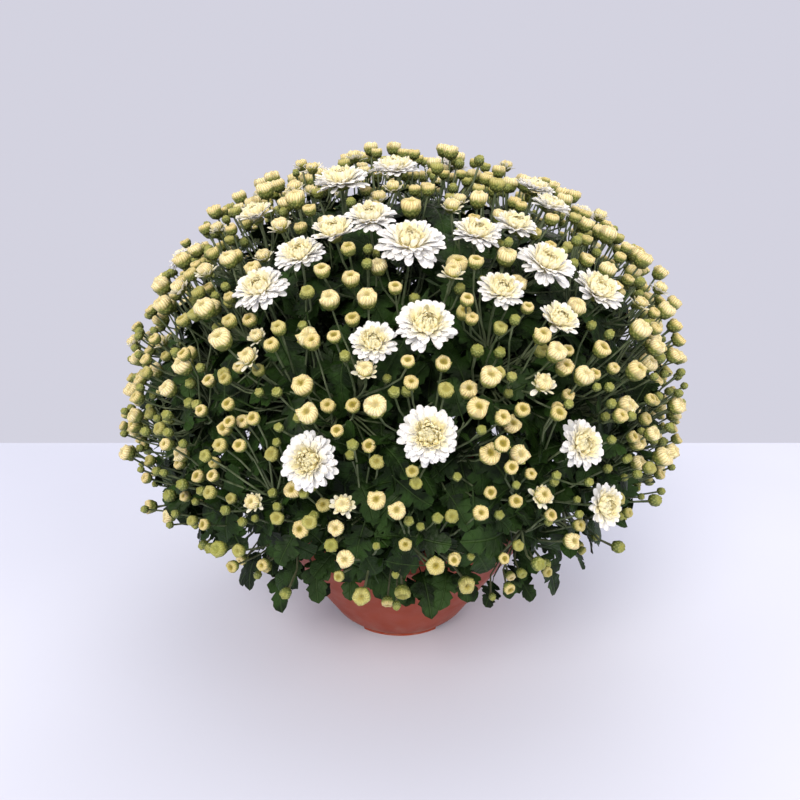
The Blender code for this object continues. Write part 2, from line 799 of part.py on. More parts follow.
def make_soil():
    """The soil that fills the pot, with a plain hole for each stem."""
    bottom = POT_FLOOR + SOIL_GAP
    inside = inner_radius(POT_CONE_HEIGHT) - 2.0 * SOIL_GAP
    soil = turned("soil", (
        (inner_radius(bottom) - SOIL_GAP, bottom),
        (inside, POT_CONE_HEIGHT),
        (inside + 0.0005, SOIL_TOP - 0.002),
        (inside - 0.004, SOIL_TOP),
    ), POT_SIDES)
    cutters = []
    for k, path in enumerate(stem_paths()):
        size = (2.0 * SOIL_HOLE_RADIUS, 2.0 * SOIL_HOLE_RADIUS, 2.0 * SOIL_HOLE_DEPTH)
        place = Vector((path[0].x, path[0].y, SOIL_TOP))
        cutters.append(prism(f"hole_{k}", place, 0.3 * k, SOIL_HOLE_SIDES, size))
    cut(soil, cutters)
    soil.data.materials.append(material("potting_soil", SOIL_BROWN, 0.95))
    return soil


def fuse(name, skins, finish):
    """One solid from the pieces of a leafy stem."""
    parts = [skin.to_object(f"{name}_part_{k}") for k, skin in enumerate(skins)]
    body, others = parts[0], parts[1:]
    group = bpy.data.collections.new(name + "_parts")
    bpy.context.scene.collection.children.link(group)
    for obj in others:
        bpy.context.scene.collection.objects.unlink(obj)
        group.objects.link(obj)
    joint = body.modifiers.new("join", "BOOLEAN")
    joint.operation = "UNION"
    joint.operand_type = "COLLECTION"
    joint.collection = group
    joint.solver = "EXACT"
    bpy.context.view_layer.update()
    shape = bpy.data.meshes.new_from_object(body.evaluated_get(bpy.context.evaluated_depsgraph_get()))
    body.modifiers.clear()
    for obj in others:
        bpy.data.objects.remove(obj, do_unlink=True)
    bpy.data.collections.remove(group)
    body.name = name
    body.data = shape
    shape.materials.clear()
    shape.materials.append(finish)
    return body


def settle(obj, place, turn, parent):
    """Gives an object its own origin and turn, and hangs it under its parent."""
    frame = Matrix.Translation(place) @ turn.to_matrix().to_4x4()
    obj.data.transform(frame.inverted())
    obj.location = place
    obj.rotation_mode = "QUATERNION"
    obj.rotation_quaternion = turn
    obj.parent = parent


def main():
    clear_scene()
    bush, blooms = fill_bush()
    whole = bpy.data.objects.new("pot_chrysanthemum", None)
    bpy.context.scene.collection.objects.link(whole)
    settle(make_pot(), Vector(), Quaternion(), whole)
    settle(make_soil(), UP * (POT_FLOOR + SOIL_GAP), Quaternion(), whole)
    green = material("leaf_green", GREEN, 0.6)
    white = material("petal_white", WHITE, 0.7)
    for k, path in enumerate(stem_paths()):
        skins = [piece.skin for piece in bush.pieces if piece.node == k]
        stem = fuse(f"leafy_stem_{k + 1:02d}", skins, green)
        settle(stem, path[0], Quaternion(UP, math.atan2(path[0].x, -path[0].y)), whole)
    for k, head in enumerate(blooms):
        bloom = bloom_skin(head).to_object(bloom_name(k))
        bloom.data.materials.append(white)
        settle(bloom, head.place, head.facing.to_track_quat("Z", "Y"), whole)


main()
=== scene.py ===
"""Looks of a potted chrysanthemum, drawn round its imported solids.

Every leafy stem and every bloom of the solids gets finer pieces in its own place: tubes for the stems and
stalks, lobed leaves, buds in their green cups, and flowers whose petals stand in a spiral. Metres, +Z up.
"""

import json
import logging
import math
import random
from collections.abc import Callable
from dataclasses import dataclass, field, replace
from enum import Enum, IntEnum, auto

import sys

import bmesh
import bpy
import numpy as np
from mathutils import Matrix, Quaternion, Vector

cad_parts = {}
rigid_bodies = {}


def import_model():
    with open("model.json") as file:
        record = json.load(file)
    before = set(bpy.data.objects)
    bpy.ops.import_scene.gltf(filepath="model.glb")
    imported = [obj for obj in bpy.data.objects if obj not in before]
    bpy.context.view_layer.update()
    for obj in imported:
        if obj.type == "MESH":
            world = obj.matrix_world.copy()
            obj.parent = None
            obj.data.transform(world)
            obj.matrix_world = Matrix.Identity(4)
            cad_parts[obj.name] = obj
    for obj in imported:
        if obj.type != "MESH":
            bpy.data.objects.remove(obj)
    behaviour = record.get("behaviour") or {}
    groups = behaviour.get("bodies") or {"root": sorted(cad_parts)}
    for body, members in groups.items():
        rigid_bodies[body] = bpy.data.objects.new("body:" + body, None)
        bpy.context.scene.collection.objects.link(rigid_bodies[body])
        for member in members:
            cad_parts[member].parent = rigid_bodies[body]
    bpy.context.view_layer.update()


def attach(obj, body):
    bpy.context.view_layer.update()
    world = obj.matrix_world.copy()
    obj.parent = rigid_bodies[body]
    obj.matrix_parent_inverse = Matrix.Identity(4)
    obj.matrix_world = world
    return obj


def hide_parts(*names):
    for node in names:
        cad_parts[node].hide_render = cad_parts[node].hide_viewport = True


Pair = tuple[float, float]
Triple = tuple[float, float, float]
Colour = Place = Triple
Material = bpy.types.Material
Mesh = bpy.types.Mesh
Piece = bpy.types.Object
Socket = bpy.types.NodeSocket

LOG = logging.getLogger("pot_chrysanthemum")
BODY = "root"
UP = Vector((0.0, 0.0, 1.0))
FULL_TURN = 2.0 * math.pi
GOLDEN_ANGLE = math.pi * (3.0 - math.sqrt(5.0))
MAP_NAME = "OFBake"
SOIL_TOP = 0.117


class Seed(IntEnum):
    """Where each run of random numbers starts."""

    LEAF_SHAPE = 40
    TURNED_SHAPE = 70
    CRUMBS = 91
    BACK_BLOOMS = 500
    BUDS = 900
    SKIRT = 1200
    HANGING_LEAVES = 1280
    OUTER_LEAVES = 1300
    INNER_LEAVES = 2900
    SIDE_HEADS = 3000
    SIDE_STALKS = 5000
    LEAF_SIZES = 7000
    RIPENESS = 8000
    CUPS = 8500
    FLORETS = 8600
    TOP_LEAVES = 9000
    FLANK_LEAVES = 11000


class Stage(Enum):
    """How far a flower head has opened."""

    TIGHT = auto()
    CRACKED = auto()
    CREAM = auto()
    HALF_OPEN = auto()
    BLOOM = auto()


@dataclass(frozen=True)
class StageLook:
    """How ripe the colour of a head is at one stage, and which cups and florets it may have."""

    ripeness: float
    cups: tuple[int, int]
    florets: tuple[int, int]


STAGE_LOOKS = {
    Stage.TIGHT: StageLook(0.0, (0, 1), (0, 1)),
    Stage.CRACKED: StageLook(0.42, (2, 3), (2, 3)),
    Stage.CREAM: StageLook(0.78, (2, 3), (4, 5)),
    Stage.HALF_OPEN: StageLook(0.85, (4, 4), (4, 5)),
    Stage.BLOOM: StageLook(1.0, (5, 5), (4, 4)),
}


# Paths and places

def clamped(value: float) -> float:
    """The value, held between 0 and 1."""
    return min(max(value, 0.0), 1.0)


def outward(azimuth: float) -> Vector:
    """Level unit vector at this azimuth: 0 is the front, and a quarter turn is +X."""
    return Vector((math.sin(azimuth), -math.cos(azimuth), 0.0))


def curve_points(start: Vector, leave: Vector, arrive: Vector, end: Vector, count: int) -> list[Vector]:
    """Points along a cubic curve.

    Args:
        start: First point.
        leave: Control point of the start.
        arrive: Control point of the end.
        end: Last point.
        count: Number of steps.

    Returns:
        The points, both ends among them.
    """
    points = []
    for k in range(count + 1):
        t = k / count
        s = 1.0 - t
        points.append(start * s ** 3 + leave * (3 * s * s * t) + arrive * (3 * s * t * t) + end * t ** 3)
    return points


def steps_between(first: float, last: float, count: int) -> list[float]:
    """Values that run evenly from one to the other, in this many steps."""
    return [first + (last - first) * k / count for k in range(count + 1)]


def point_along(path: list[Vector], share: float) -> tuple[Vector, Vector]:
    """Finds a point of a path.

    Args:
        path: The points of the path.
        share: How far along, as a share of its steps.

    Returns:
        The place, and the direction there.
    """
    along = share * (len(path) - 1)
    low = min(int(along), len(path) - 2)
    return path[low].lerp(path[low + 1], along - low), (path[low + 1] - path[low]).normalized()


@dataclass(frozen=True)
class Dome:
    """The rounded surface that the flower heads stand on."""

    radius: float = 0.242
    rise: float = 0.203
    drop: float = 0.130
    centre: float = 0.235
    squareness: float = 3.6
    lean: float = 0.045
    lowest: float = math.radians(146.0)
    bands: int = 240

    def section(self, polar: float) -> Pair:
        """Cuts the dome upright.

        Args:
            polar: Angle from the top.

        Returns:
            Radius and height there.
        """
        across, along = math.sin(polar), math.cos(polar)
        if along >= 0.0:
            return self.radius * across, self.centre + self.rise * along
        power = 2.0 / self.squareness
        return self.radius * across ** power, self.centre - self.drop * (-along) ** power

    def frame(self, azimuth: float, polar: float, depth: float = 0.0) -> tuple[Vector, Vector]:
        """A place on the dome.

        Args:
            azimuth: Angle round the pot's axis, from the front.
            polar: Angle from the top.
            depth: Distance under the surface.

        Returns:
            The place, and the outward normal there.
        """
        step = 0.01
        radius, height = self.section(polar)
        before, after = self.section(max(polar - step, 0.0)), self.section(polar + step)
        run, fall = after[0] - before[0], after[1] - before[1]
        size = math.hypot(run, fall)
        radius *= 1.0 + self.lean * math.sin(azimuth) * max(math.sin(2.0 * polar), 0.0)
        normal = outward(azimuth) * (-fall / size) + UP * (run / size)
        return outward(azimuth) * radius + UP * height - normal * depth, normal

    def even_polars(self, count: int) -> list[float]:
        """Shares the dome's area evenly.

        Args:
            count: Number of shares.

        Returns:
            The angle from the top of each share's middle.
        """
        angles = [self.lowest * k / self.bands for k in range(self.bands + 1)]
        cuts = [self.section(angle) for angle in angles]
        areas = np.cumsum([0.0] + [math.hypot(far[0] - near[0], far[1] - near[1]) * (far[0] + near[0])
                                   for near, far in zip(cuts, cuts[1:])])
        return np.interp(areas[-1] * (np.arange(count) + 0.5) / count, areas, angles).tolist()

    def spiral(self, count: int, start: float) -> list[Pair]:
        """Azimuth and angle from the top of each point of an even spiral over the dome."""
        return [((start + k * GOLDEN_ANGLE) % FULL_TURN, polar)
                for k, polar in enumerate(self.even_polars(count))]


@dataclass
class Head:
    """One flower head, from a tight bud to an open bloom."""

    place: Vector
    facing: Vector
    width: float
    openness: float
    stage: Stage
    polar: float
    stem: int = 0
    bloom_depth: float = 0.003

    def foot(self) -> Vector:
        """Where its stalk ends."""
        return self.place - self.facing * self.bloom_depth if self.stage is Stage.BLOOM else self.place

    def turn(self, spin: float = 0.0) -> Quaternion:
        """The turn that takes +Z to its facing, after a spin about its own axis."""
        return self.facing.to_track_quat("Z", "Y") @ Quaternion(UP, spin)


@dataclass(frozen=True)
class LimbKind:
    """How a limb grows: its girth from root to tip, its steps, how wide it ends, how readily it turns to its
    end, and where on it other limbs start."""

    radii: Pair
    steps: int
    flare: float = 1.0
    turning: float = 1.0
    fork_share: float = 0.5


BRANCH = LimbKind((0.0018, 0.0015), 5, fork_share=0.9)
STALK = LimbKind((0.0011, 0.0008), 6, 1.35, fork_share=0.35)
SIDE_STALK = LimbKind((0.0009, 0.0006), 4, 1.3, 0.8)


@dataclass
class Limb:
    """A stem, branch or stalk of one leafy stem, drawn as a tube."""

    stem: int
    path: list[Vector]
    radii: list[float]
    fork_share: float = 0.5


@dataclass
class Spot:
    """Where a leaf grows, and how it lies."""

    stem: int
    root: Vector
    heading: Vector
    upper: Vector
    length: float

    def turn(self) -> Quaternion:
        """The turn that lays a leaf drawn along +Y, face up, onto this spot."""
        across = self.heading.cross(self.upper).normalized()
        axes = Matrix((across, self.heading, across.cross(self.heading).normalized()))
        return axes.transposed().to_quaternion()


# The plan of the bush

@dataclass(frozen=True)
class HeadPlan:
    """Where the flower heads stand. The leading ones are those of the solids."""

    # Azimuth and angle from the top in degrees, width in millimetres, openness
    front_blooms: tuple[tuple[float, float, float, float], ...] = (
        (-20, 31, 36, 0.8), (-2, 25, 32, 0.8), (-41, 42, 25, 0.5), (-14, 47, 26, 0.5),
        (-7, 43, 32, 0.9), (2, 49, 40, 1.0), (16, 47, 29, 0.8), (26, 45, 26, 0.7),
        (28, 54, 36, 0.9), (51, 32, 26, 0.7), (44, 39, 26, 0.7), (-20, 52, 30, 0.8),
        (-26, 59, 33, 0.9), (17, 59, 26, 0.7), (37, 60, 32, 0.7), (26, 65, 24, 0.5),
        (4, 65, 33, 0.8), (-4, 68, 25, 0.7), (-13, 88, 32, 0.9), (4, 83, 31, 0.8),
        (28, 87, 29, 0.8), (34, 96, 27, 0.6),
    )
    # Azimuth and angle from the top in degrees, width in millimetres
    front_half_open: tuple[Triple, ...] = (
        (-36, 15, 17), (-28, 46, 17), (9, 56, 16), (-5, 73, 16), (21, 92, 17), (21, 76, 17),
        (-8, 92, 16), (-24, 72, 17), (-50, 61, 17), (-69, 75, 16), (65, 62, 17), (-22, 93, 15),
    )
    dome: Dome = Dome()
    back_count: int = 12
    back_azimuth: float = math.radians(76.0)
    back_lowest: float = math.radians(118.0)
    back_widths: Pair = (0.026, 0.037)
    back_openness: Pair = (0.6, 1.0)
    bud_count: int = 176
    bud_widths: tuple[float, ...] = (0.0085, 0.0100, 0.0115, 0.0130, 0.0150)
    bud_depths: Pair = (-0.003, 0.012)
    bud_play: Pair = (0.05, 0.03)
    half_openness: float = 0.3
    bud_openness: float = 0.2
    # The widest head of each stage, where heads are further on or where they are late
    early_limits: tuple[tuple[float, Stage], ...] = (
        (0.0092, Stage.TIGHT), (0.0118, Stage.CRACKED), (0.0140, Stage.CREAM), (1.0, Stage.HALF_OPEN))
    late_limits: tuple[tuple[float, Stage], ...] = ((0.0105, Stage.TIGHT), (1.0, Stage.CRACKED))
    late_polar: float = math.radians(98.0)
    late_width: float = 0.0112
    spacing: float = 0.022
    width_share: float = 0.3
    # How far up a closed head and a bloom face
    lifts: Pair = (0.7, 0.4)
    side_count: int = 3300
    side_spacing: float = 0.0015
    side_width_share: float = 0.50
    side_depths: Pair = (-0.004, 0.016)
    side_play: Pair = (0.09, 0.06)
    side_thinning: Triple = (0.10, 82.0, 34.0)
    back_thinning: float = 0.13
    # How ripe a side head of each stage may be, and how wide it then is
    ripeness: tuple[tuple[float, Stage, float, float], ...] = (
        (0.40, Stage.TIGHT, 0.0058, 0.0080), (0.83, Stage.CRACKED, 0.0080, 0.0102),
        (1.11, Stage.CREAM, 0.0102, 0.0132), (9.0, Stage.HALF_OPEN, 0.0140, 0.0175))
    ripe_top: float = 0.30
    shrink: float = 0.15
    shrink_from: float = math.radians(80.0)
    shrink_over: float = 0.45

    def head(self, azimuth: float, polar: float, width: float, openness: float, stage: Stage,
             depth: float = 0.0) -> Head:
        """A flower head on the dome, or this deep under it, that faces outwards and up."""
        place, normal = self.dome.frame(azimuth, polar, depth)
        return Head(place, (normal + UP * self.lifts[stage is Stage.BLOOM]).normalized(), width, openness,
                    stage, polar)

    def is_free(self, head: Head, heads: list[Head], spacing: float, widths: float) -> bool:
        """Whether a head keeps its distance from the others: a spacing and a share of both widths."""
        return all((head.place - other.place).length > spacing + widths * (head.width + other.width)
                   for other in heads)

    def back_blooms(self, heads: list[Head]) -> list[Head]:
        """Open blooms for the sides and the back, spread by rule.

        Args:
            heads: The heads that they keep clear of.

        Returns:
            The blooms.
        """
        found = []
        for k, (azimuth, polar) in enumerate(self.dome.spiral(3 * self.back_count, 2.1)):
            draw = random.Random(Seed.BACK_BLOOMS + k)
            width, openness = draw.uniform(*self.back_widths), draw.uniform(*self.back_openness)
            head = self.head(azimuth, polar, width, openness, Stage.BLOOM)
            at_front = abs(math.remainder(azimuth, FULL_TURN)) < self.back_azimuth
            free = self.is_free(head, heads, self.spacing, self.width_share)
            if not at_front and polar < self.back_lowest and free:
                found.append(head)
        return found[:self.back_count]

    def bud_heads(self, heads: list[Head]) -> list[Head]:
        """Closed and half-open heads over the whole dome. Those low on the bush are late.

        Args:
            heads: The blooms that they keep clear of.

        Returns:
            The closed and half-open heads.
        """
        found = []
        for k, (azimuth, polar) in enumerate(self.dome.spiral(self.bud_count, 0.4)):
            draw = random.Random(Seed.BUDS + k)
            width = draw.choice(self.bud_widths)
            azimuth, polar = (angle + draw.uniform(-play, play)
                              for angle, play in zip((azimuth, polar), self.bud_play))
            late = polar > self.late_polar
            stage = next(stage for limit, stage in (self.late_limits if late else self.early_limits)
                         if width < limit)
            head = self.head(azimuth, polar, width, self.bud_openness, stage, draw.uniform(*self.bud_depths))
            if self.is_free(head, heads, self.spacing, self.width_share):
                head.width = min(width, self.late_width) if late else width
                found.append(head)
        return found

    def leading_heads(self) -> list[Head]:
        """The heads that the solids have too.

        Returns:
            The blooms of the front and the back, the half-open heads of the front, then all others.
        """
        rows = [(*row, Stage.BLOOM) for row in self.front_blooms]
        rows += [(*row, self.half_openness, Stage.HALF_OPEN) for row in self.front_half_open]
        chosen = [self.head(math.radians(azimuth), math.radians(polar), width / 1000.0, openness, stage)
                  for azimuth, polar, width, openness, stage in rows]
        front = len(self.front_blooms)
        leading = chosen[:front] + self.back_blooms(chosen) + chosen[front:]
        return leading + self.bud_heads(leading)

    def side_heads(self, heads: list[Head]) -> list[Head]:
        """The smaller heads that stand between the leading ones.

        Args:
            heads: The leading heads.

        Returns:
            The smaller heads.
        """
        found = list(heads)
        least, thin_from, thin_over = self.side_thinning
        for k, (azimuth, polar) in enumerate(self.dome.spiral(self.side_count, 1.1)):
            draw = random.Random(Seed.SIDE_HEADS + k)
            kept = min(1.0, max(least, 1.0 - (math.degrees(polar) - thin_from) / thin_over))
            if draw.random() > kept * (1.0 - self.back_thinning * (1.0 - math.cos(azimuth))):
                continue
            ripe = draw.random() + self.ripe_top * math.cos(polar)
            _, stage, *widths = next(row for row in self.ripeness if ripe < row[0])
            width, depth = draw.uniform(*widths), draw.uniform(*self.side_depths)
            width *= 1.0 - self.shrink * clamped((polar - self.shrink_from) / self.shrink_over)
            azimuth, polar = (angle + draw.uniform(-play, play)
                              for angle, play in zip((azimuth, polar), self.side_play))
            head = self.head(azimuth, min(polar, self.dome.lowest), width, self.half_openness, stage, depth)
            if self.is_free(head, found, self.side_spacing, self.side_width_share):
                found.append(head)
        return found[len(heads):]


@dataclass
class LimbPlan:
    """The leafy stems with their branches, stalks and heads. The leading ones are those of the solids."""

    dome: Dome = Dome()
    stem_count: int = 20
    stem_radii: Pair = (0.0026, 0.0020)
    stem_spread: float = 0.088
    stem_steps: int = 8
    stem_fork: float = 0.75
    crown_share: float = 0.54
    crown_lowest: float = 0.147
    branch_count: int = 56
    branch_depth: float = 0.058
    spiral_start: float = 1.7
    stalk_length: float = 0.045
    stalk_shares: tuple[float, ...] = (0.80, 0.62, 0.92, 0.50, 0.71)
    side_drops: Pair = (0.034, 0.055)
    side_lengths: Pair = (0.012, 0.095)
    side_shares: tuple[float, ...] = (-0.2, 0.0, 0.1)
    bract_share: float = 0.6
    bract_places: Pair = (0.15, 0.6)
    bract_lengths: Pair = (0.012, 0.024)
    heads: list[Head] = field(default_factory=list)
    limbs: list[Limb] = field(default_factory=list)
    bracts: list[Spot] = field(default_factory=list)

    def stem_paths(self) -> list[list[Vector]]:
        """The main stems, from their holes in the soil to under their part of the dome.

        Returns:
            The points of each stem.
        """
        paths = []
        for azimuth, polar in self.dome.spiral(self.stem_count, self.spiral_start):
            spread = self.stem_spread * (polar / self.dome.lowest) ** 0.8
            root, mouth = (outward(azimuth) * spread + UP * (SOIL_TOP + rise) for rise in (-0.010, 0.003))
            place, normal = self.dome.frame(azimuth, polar)
            crown = outward(azimuth) * spread * 0.9 + UP * (SOIL_TOP + 0.035)
            end = crown.lerp(place, self.crown_share)
            end.z = max(end.z, self.crown_lowest)
            heading = (normal + UP * (1.0 - 0.5 * max(0.0, math.cos(polar)))).normalized()
            paths.append([root] + curve_points(mouth, mouth + UP * 0.040, end - heading * 0.045, end,
                                               self.stem_steps))
        return paths

    def grow(self, leading: list[Head], between: list[Head]) -> None:
        """The stems with their branches, and the stalks of all heads.

        Args:
            leading: The heads that the solids have too.
            between: The heads that stand between them.
        """
        self.heads = leading
        stems = self.stem_paths()
        tips = [self.dome.frame(azimuth, polar, self.branch_depth)
                for azimuth, polar in self.dome.spiral(self.branch_count, self.spiral_start)]
        stem_of_tip = [min(range(len(stems)), key=lambda k: (stems[k][-1] - place).length)
                       for place, _ in tips]
        tip_of_head = [min(range(len(tips)), key=lambda k: (tips[k][0] - root).length)
                       for root in (head.place - head.facing * self.stalk_length for head in leading)]
        for stem, path in enumerate(stems):
            radii = [self.stem_radii[0]] + steps_between(*self.stem_radii, self.stem_steps)
            self.limbs.append(Limb(stem, path, radii, self.stem_fork))
            family = [tip for tip in range(len(tips)) if stem_of_tip[tip] == stem]
            for rank, tip in enumerate(family):
                members = [index for index, of_tip in enumerate(tip_of_head) if of_tip == tip]
                if members:
                    self.grow_branch(stem, path, tips[tip], members, 0.98 - 0.12 * (rank % 4))
        self.grow_side_stalks(between)

    def add_limb(self, stem: int, origin: tuple[Vector, Vector], end: Vector, arrive: Vector,
                 kind: LimbKind) -> list[Vector]:
        """A limb that curves from a point of its parent to its own end.

        Args:
            stem: Its leafy stem.
            origin: Place and direction of the parent there.
            end: Where it ends.
            arrive: Direction in which it ends.
            kind: How it grows.

        Returns:
            Its points.
        """
        start, along = origin
        leave = (along + (end - start).normalized() * kind.turning).normalized()
        length = (end - start).length
        path = curve_points(start, start + leave * length * 0.33, end - arrive * length * 0.36, end,
                            kind.steps)
        radii = steps_between(*kind.radii, kind.steps)
        radii[-1] *= kind.flare
        self.limbs.append(Limb(stem, path, radii, kind.fork_share))
        return path

    def grow_branch(self, stem: int, path: list[Vector], tip: tuple[Vector, Vector], members: list[int],
                    share: float) -> None:
        """One branch with the stalks of its heads.

        Args:
            stem: Its leafy stem.
            path: The main stem.
            tip: Place and normal of its tip.
            members: Indices of its heads.
            share: Where on the stem it starts.
        """
        place, normal = tip
        arrive = (normal + UP * 0.6).normalized()
        branch = self.add_limb(stem, point_along(path, share), place, arrive, BRANCH)
        straightest = max(members, key=lambda h: (self.heads[h].place - place).normalized().dot(normal))
        for rank, index in enumerate(members):
            at = 1.0 if index == straightest else self.stalk_shares[rank % len(self.stalk_shares)]
            head = self.heads[index]
            head.stem = stem
            self.add_limb(stem, point_along(branch, at), head.foot(), head.facing, STALK)

    def grow_side_stalks(self, heads: list[Head]) -> None:
        """Stalks from the nearest fork for the heads between the leading ones.

        Args:
            heads: Those heads. One that has no fork in reach is left out.
        """
        forks = [(limb.stem, point_along(limb.path, limb.fork_share + share)) for limb in self.limbs
                 for share in self.side_shares]
        places = np.array([place for _, (place, _) in forks])
        shortest, longest = self.side_lengths
        for k, head in enumerate(heads):
            draw = random.Random(Seed.SIDE_STALKS + k)
            wanted = head.place - head.facing * draw.uniform(*self.side_drops)
            nearest = int(np.argmin(np.linalg.norm(places - np.array(wanted), axis=1)))
            stem, origin = forks[nearest]
            if not shortest < (head.foot() - origin[0]).length < longest:
                continue
            path = self.add_limb(stem, origin, head.foot(), head.facing, SIDE_STALK)
            head.stem = stem
            self.heads.append(head)
            if draw.random() < self.bract_share:
                self.add_bract(stem, path, draw)

    def add_bract(self, stem: int, path: list[Vector], draw: random.Random) -> None:
        """A small narrow leaf on a stalk.

        Args:
            stem: Its leafy stem.
            path: The stalk.
            draw: Seeded random numbers.
        """
        place, along = point_along(path, draw.uniform(*self.bract_places))
        side = Quaternion(along, draw.uniform(0.0, FULL_TURN)) @ along.orthogonal().normalized()
        heading = (along * 0.7 + side).normalized()
        self.bracts.append(Spot(stem, place, heading, along, draw.uniform(*self.bract_lengths)))


@dataclass(frozen=True)
class LeafLayer:
    """Leaves under the dome, spread along a spiral of their own between two angles from the top."""

    count: int
    start: float
    seed: Seed
    depths: Pair
    low_depths: Pair | None = None
    highest: float = 0.0
    lowest: float = math.radians(126.0)
    scale: float = 1.0

    def depths_at(self, low: float) -> list[float]:
        """The range of depths at this share of the way to the bush's lower edge."""
        low_depths = self.low_depths or self.depths
        return [upper + (lower - upper) * low for upper, lower in zip(self.depths, low_depths)]


@dataclass
class LeafPlan:
    """The leaves that fill the bush, and those that hang over the pot's rim."""

    limbs: list[Limb]
    dome: Dome = Dome()
    layers: tuple[LeafLayer, ...] = (
        LeafLayer(1540, 2.6, Seed.OUTER_LEAVES, (0.022, 0.072), (0.012, 0.056)),
        LeafLayer(270, 0.7, Seed.INNER_LEAVES, (0.085, 0.115)),
        LeafLayer(560, 1.9, Seed.TOP_LEAVES, (0.016, 0.044), lowest=math.radians(64.0), scale=0.76),
        LeafLayer(640, 0.9, Seed.FLANK_LEAVES, (0.008, 0.034), highest=math.radians(74.0),
                  lowest=math.radians(120.0), scale=0.80),
    )
    lengths: Pair = (0.028, 0.042)
    joint_girth: float = 0.00178
    joint_shares: tuple[float, ...] = (0.25, 0.4, 0.55, 0.7, 0.85, 1.0)
    stalk_radii: tuple[float, ...] = (0.0009, 0.0007, 0.0006)
    skirt_count: int = 120
    skirt_radii: Pair = (0.143, 0.030)
    skirt_heights: Pair = (0.148, 0.030)
    hanging_scale: float = 0.90
    # Azimuth in degrees, radius and height of the middle of each leaf that hangs before the pot
    hanging: tuple[Triple, ...] = (
        (-82, 0.214, 0.154), (-77, 0.200, 0.138), (-69, 0.212, 0.148), (-65, 0.190, 0.128),
        (-56, 0.192, 0.134),
        (56, 0.196, 0.136), (63, 0.188, 0.126), (72, 0.210, 0.146), (78, 0.200, 0.136),
        (-72, 0.204, 0.136), (-61, 0.198, 0.126), (-50, 0.170, 0.104), (-43, 0.180, 0.114),
        (-37, 0.166, 0.100),
        (-31, 0.172, 0.116), (-24, 0.160, 0.110), (-15, 0.152, 0.112), (-6, 0.152, 0.118), (4, 0.150, 0.104),
        (11, 0.154, 0.116), (20, 0.160, 0.110), (25, 0.168, 0.102), (31, 0.174, 0.114), (37, 0.168, 0.100),
        (43, 0.182, 0.110), (49, 0.172, 0.120), (57, 0.184, 0.106), (68, 0.194, 0.124),
    )
    low_from: float = math.radians(75.0)
    low_over: float = math.radians(35.0)
    leaves: list[Spot] = field(default_factory=list)
    joints: list[tuple[int, Vector]] = field(default_factory=list)
    places: np.ndarray | None = None

    def grow(self) -> None:
        """Fills the plan from the joints of the stems and branches."""
        for limb in self.limbs:
            if limb.radii[0] >= self.joint_girth:
                self.joints += [(limb.stem, point_along(limb.path, share)[0]) for share in self.joint_shares]
        self.places = np.array([place for _, place in self.joints])
        for k in range(self.skirt_count):
            draw = random.Random(Seed.SKIRT + k)
            side = outward(0.2 + k * GOLDEN_ANGLE)
            share = draw.random()
            radius = self.skirt_radii[0] + self.skirt_radii[1] * share
            height = self.skirt_heights[0] - self.skirt_heights[1] * share
            self.add_hanging_leaf(side * radius + UP * height, side, draw)
        for k, (azimuth, radius, height) in enumerate(self.hanging):
            side = outward(math.radians(azimuth))
            self.add_hanging_leaf(side * radius + UP * height, side, random.Random(Seed.HANGING_LEAVES + k))
        for layer in self.layers:
            self.add_layer(layer)

    def add_layer(self, layer: LeafLayer) -> None:
        """Leaves under the dome, which stand out from it in every direction.

        Args:
            layer: How many there are, and where.
        """
        for k, (azimuth, polar) in enumerate(self.dome.spiral(layer.count, layer.start)):
            if not layer.highest <= polar <= layer.lowest:
                continue
            draw = random.Random(layer.seed + k)
            depths = layer.depths_at(clamped((polar - self.low_from) / self.low_over))
            target, normal = self.dome.frame(azimuth, polar, draw.uniform(*depths))
            along = Quaternion(normal, draw.uniform(0.0, FULL_TURN)) @ normal.orthogonal().normalized()
            heading = (along * 0.8 + normal * draw.uniform(0.0, 0.8) - UP * 0.15).normalized()
            upper = normal * 0.55 + UP * 0.55 + Vector([draw.uniform(-0.4, 0.4) for _ in range(3)])
            self.add_leaf(target, heading, upper, draw, layer.scale)

    def add_hanging_leaf(self, target: Vector, side: Vector, draw: random.Random) -> None:
        """A leaf that hangs out over the pot's rim on this side, its middle at the target."""
        across, down = side.cross(UP) * draw.uniform(-0.9, 0.9), UP * draw.uniform(0.2, 0.7)
        heading = (side * 0.7 + across - down).normalized()
        self.add_leaf(target, heading, side + UP * draw.uniform(0.4, 0.9), draw, self.hanging_scale)

    def add_leaf(self, target: Vector, heading: Vector, upper: Vector, draw: random.Random,
                 scale: float) -> None:
        """A leaf whose middle lies at the target, on a leaf stalk from the nearest joint.

        Args:
            target: Middle of the blade.
            heading: Direction of its rib.
            upper: Where its face looks.
            draw: Seeded random numbers.
            scale: Its size against the others.
        """
        length = draw.uniform(*self.lengths) * scale
        root = target - heading * length * 0.6
        nearest = int(np.argmin(np.linalg.norm(self.places - np.array(root - heading * 0.008), axis=1)))
        stem, joint = self.joints[nearest]
        if (root - joint).length > 0.003:
            bend = joint.lerp(root, 0.5) + (heading + UP * 0.4) * (root - joint).length * -0.08
            self.limbs.append(Limb(stem, [joint, bend, root], list(self.stalk_radii)))
        self.leaves.append(Spot(stem, root, heading, upper.normalized(), length))


# Node trees

def operator(operation: str, swapped: bool = False) -> Callable[["Flow", object], "Flow"]:
    """Makes an arithmetic operator that adds a Math node.

    Args:
        operation: What the node does.
        swapped: Whether the other number comes first.

    Returns:
        The operator, as a method.
    """
    def apply(flow: "Flow", other: object) -> "Flow":
        """The node's result."""
        return flow.graph.math(operation, *((other, flow) if swapped else (flow, other)))
    return apply


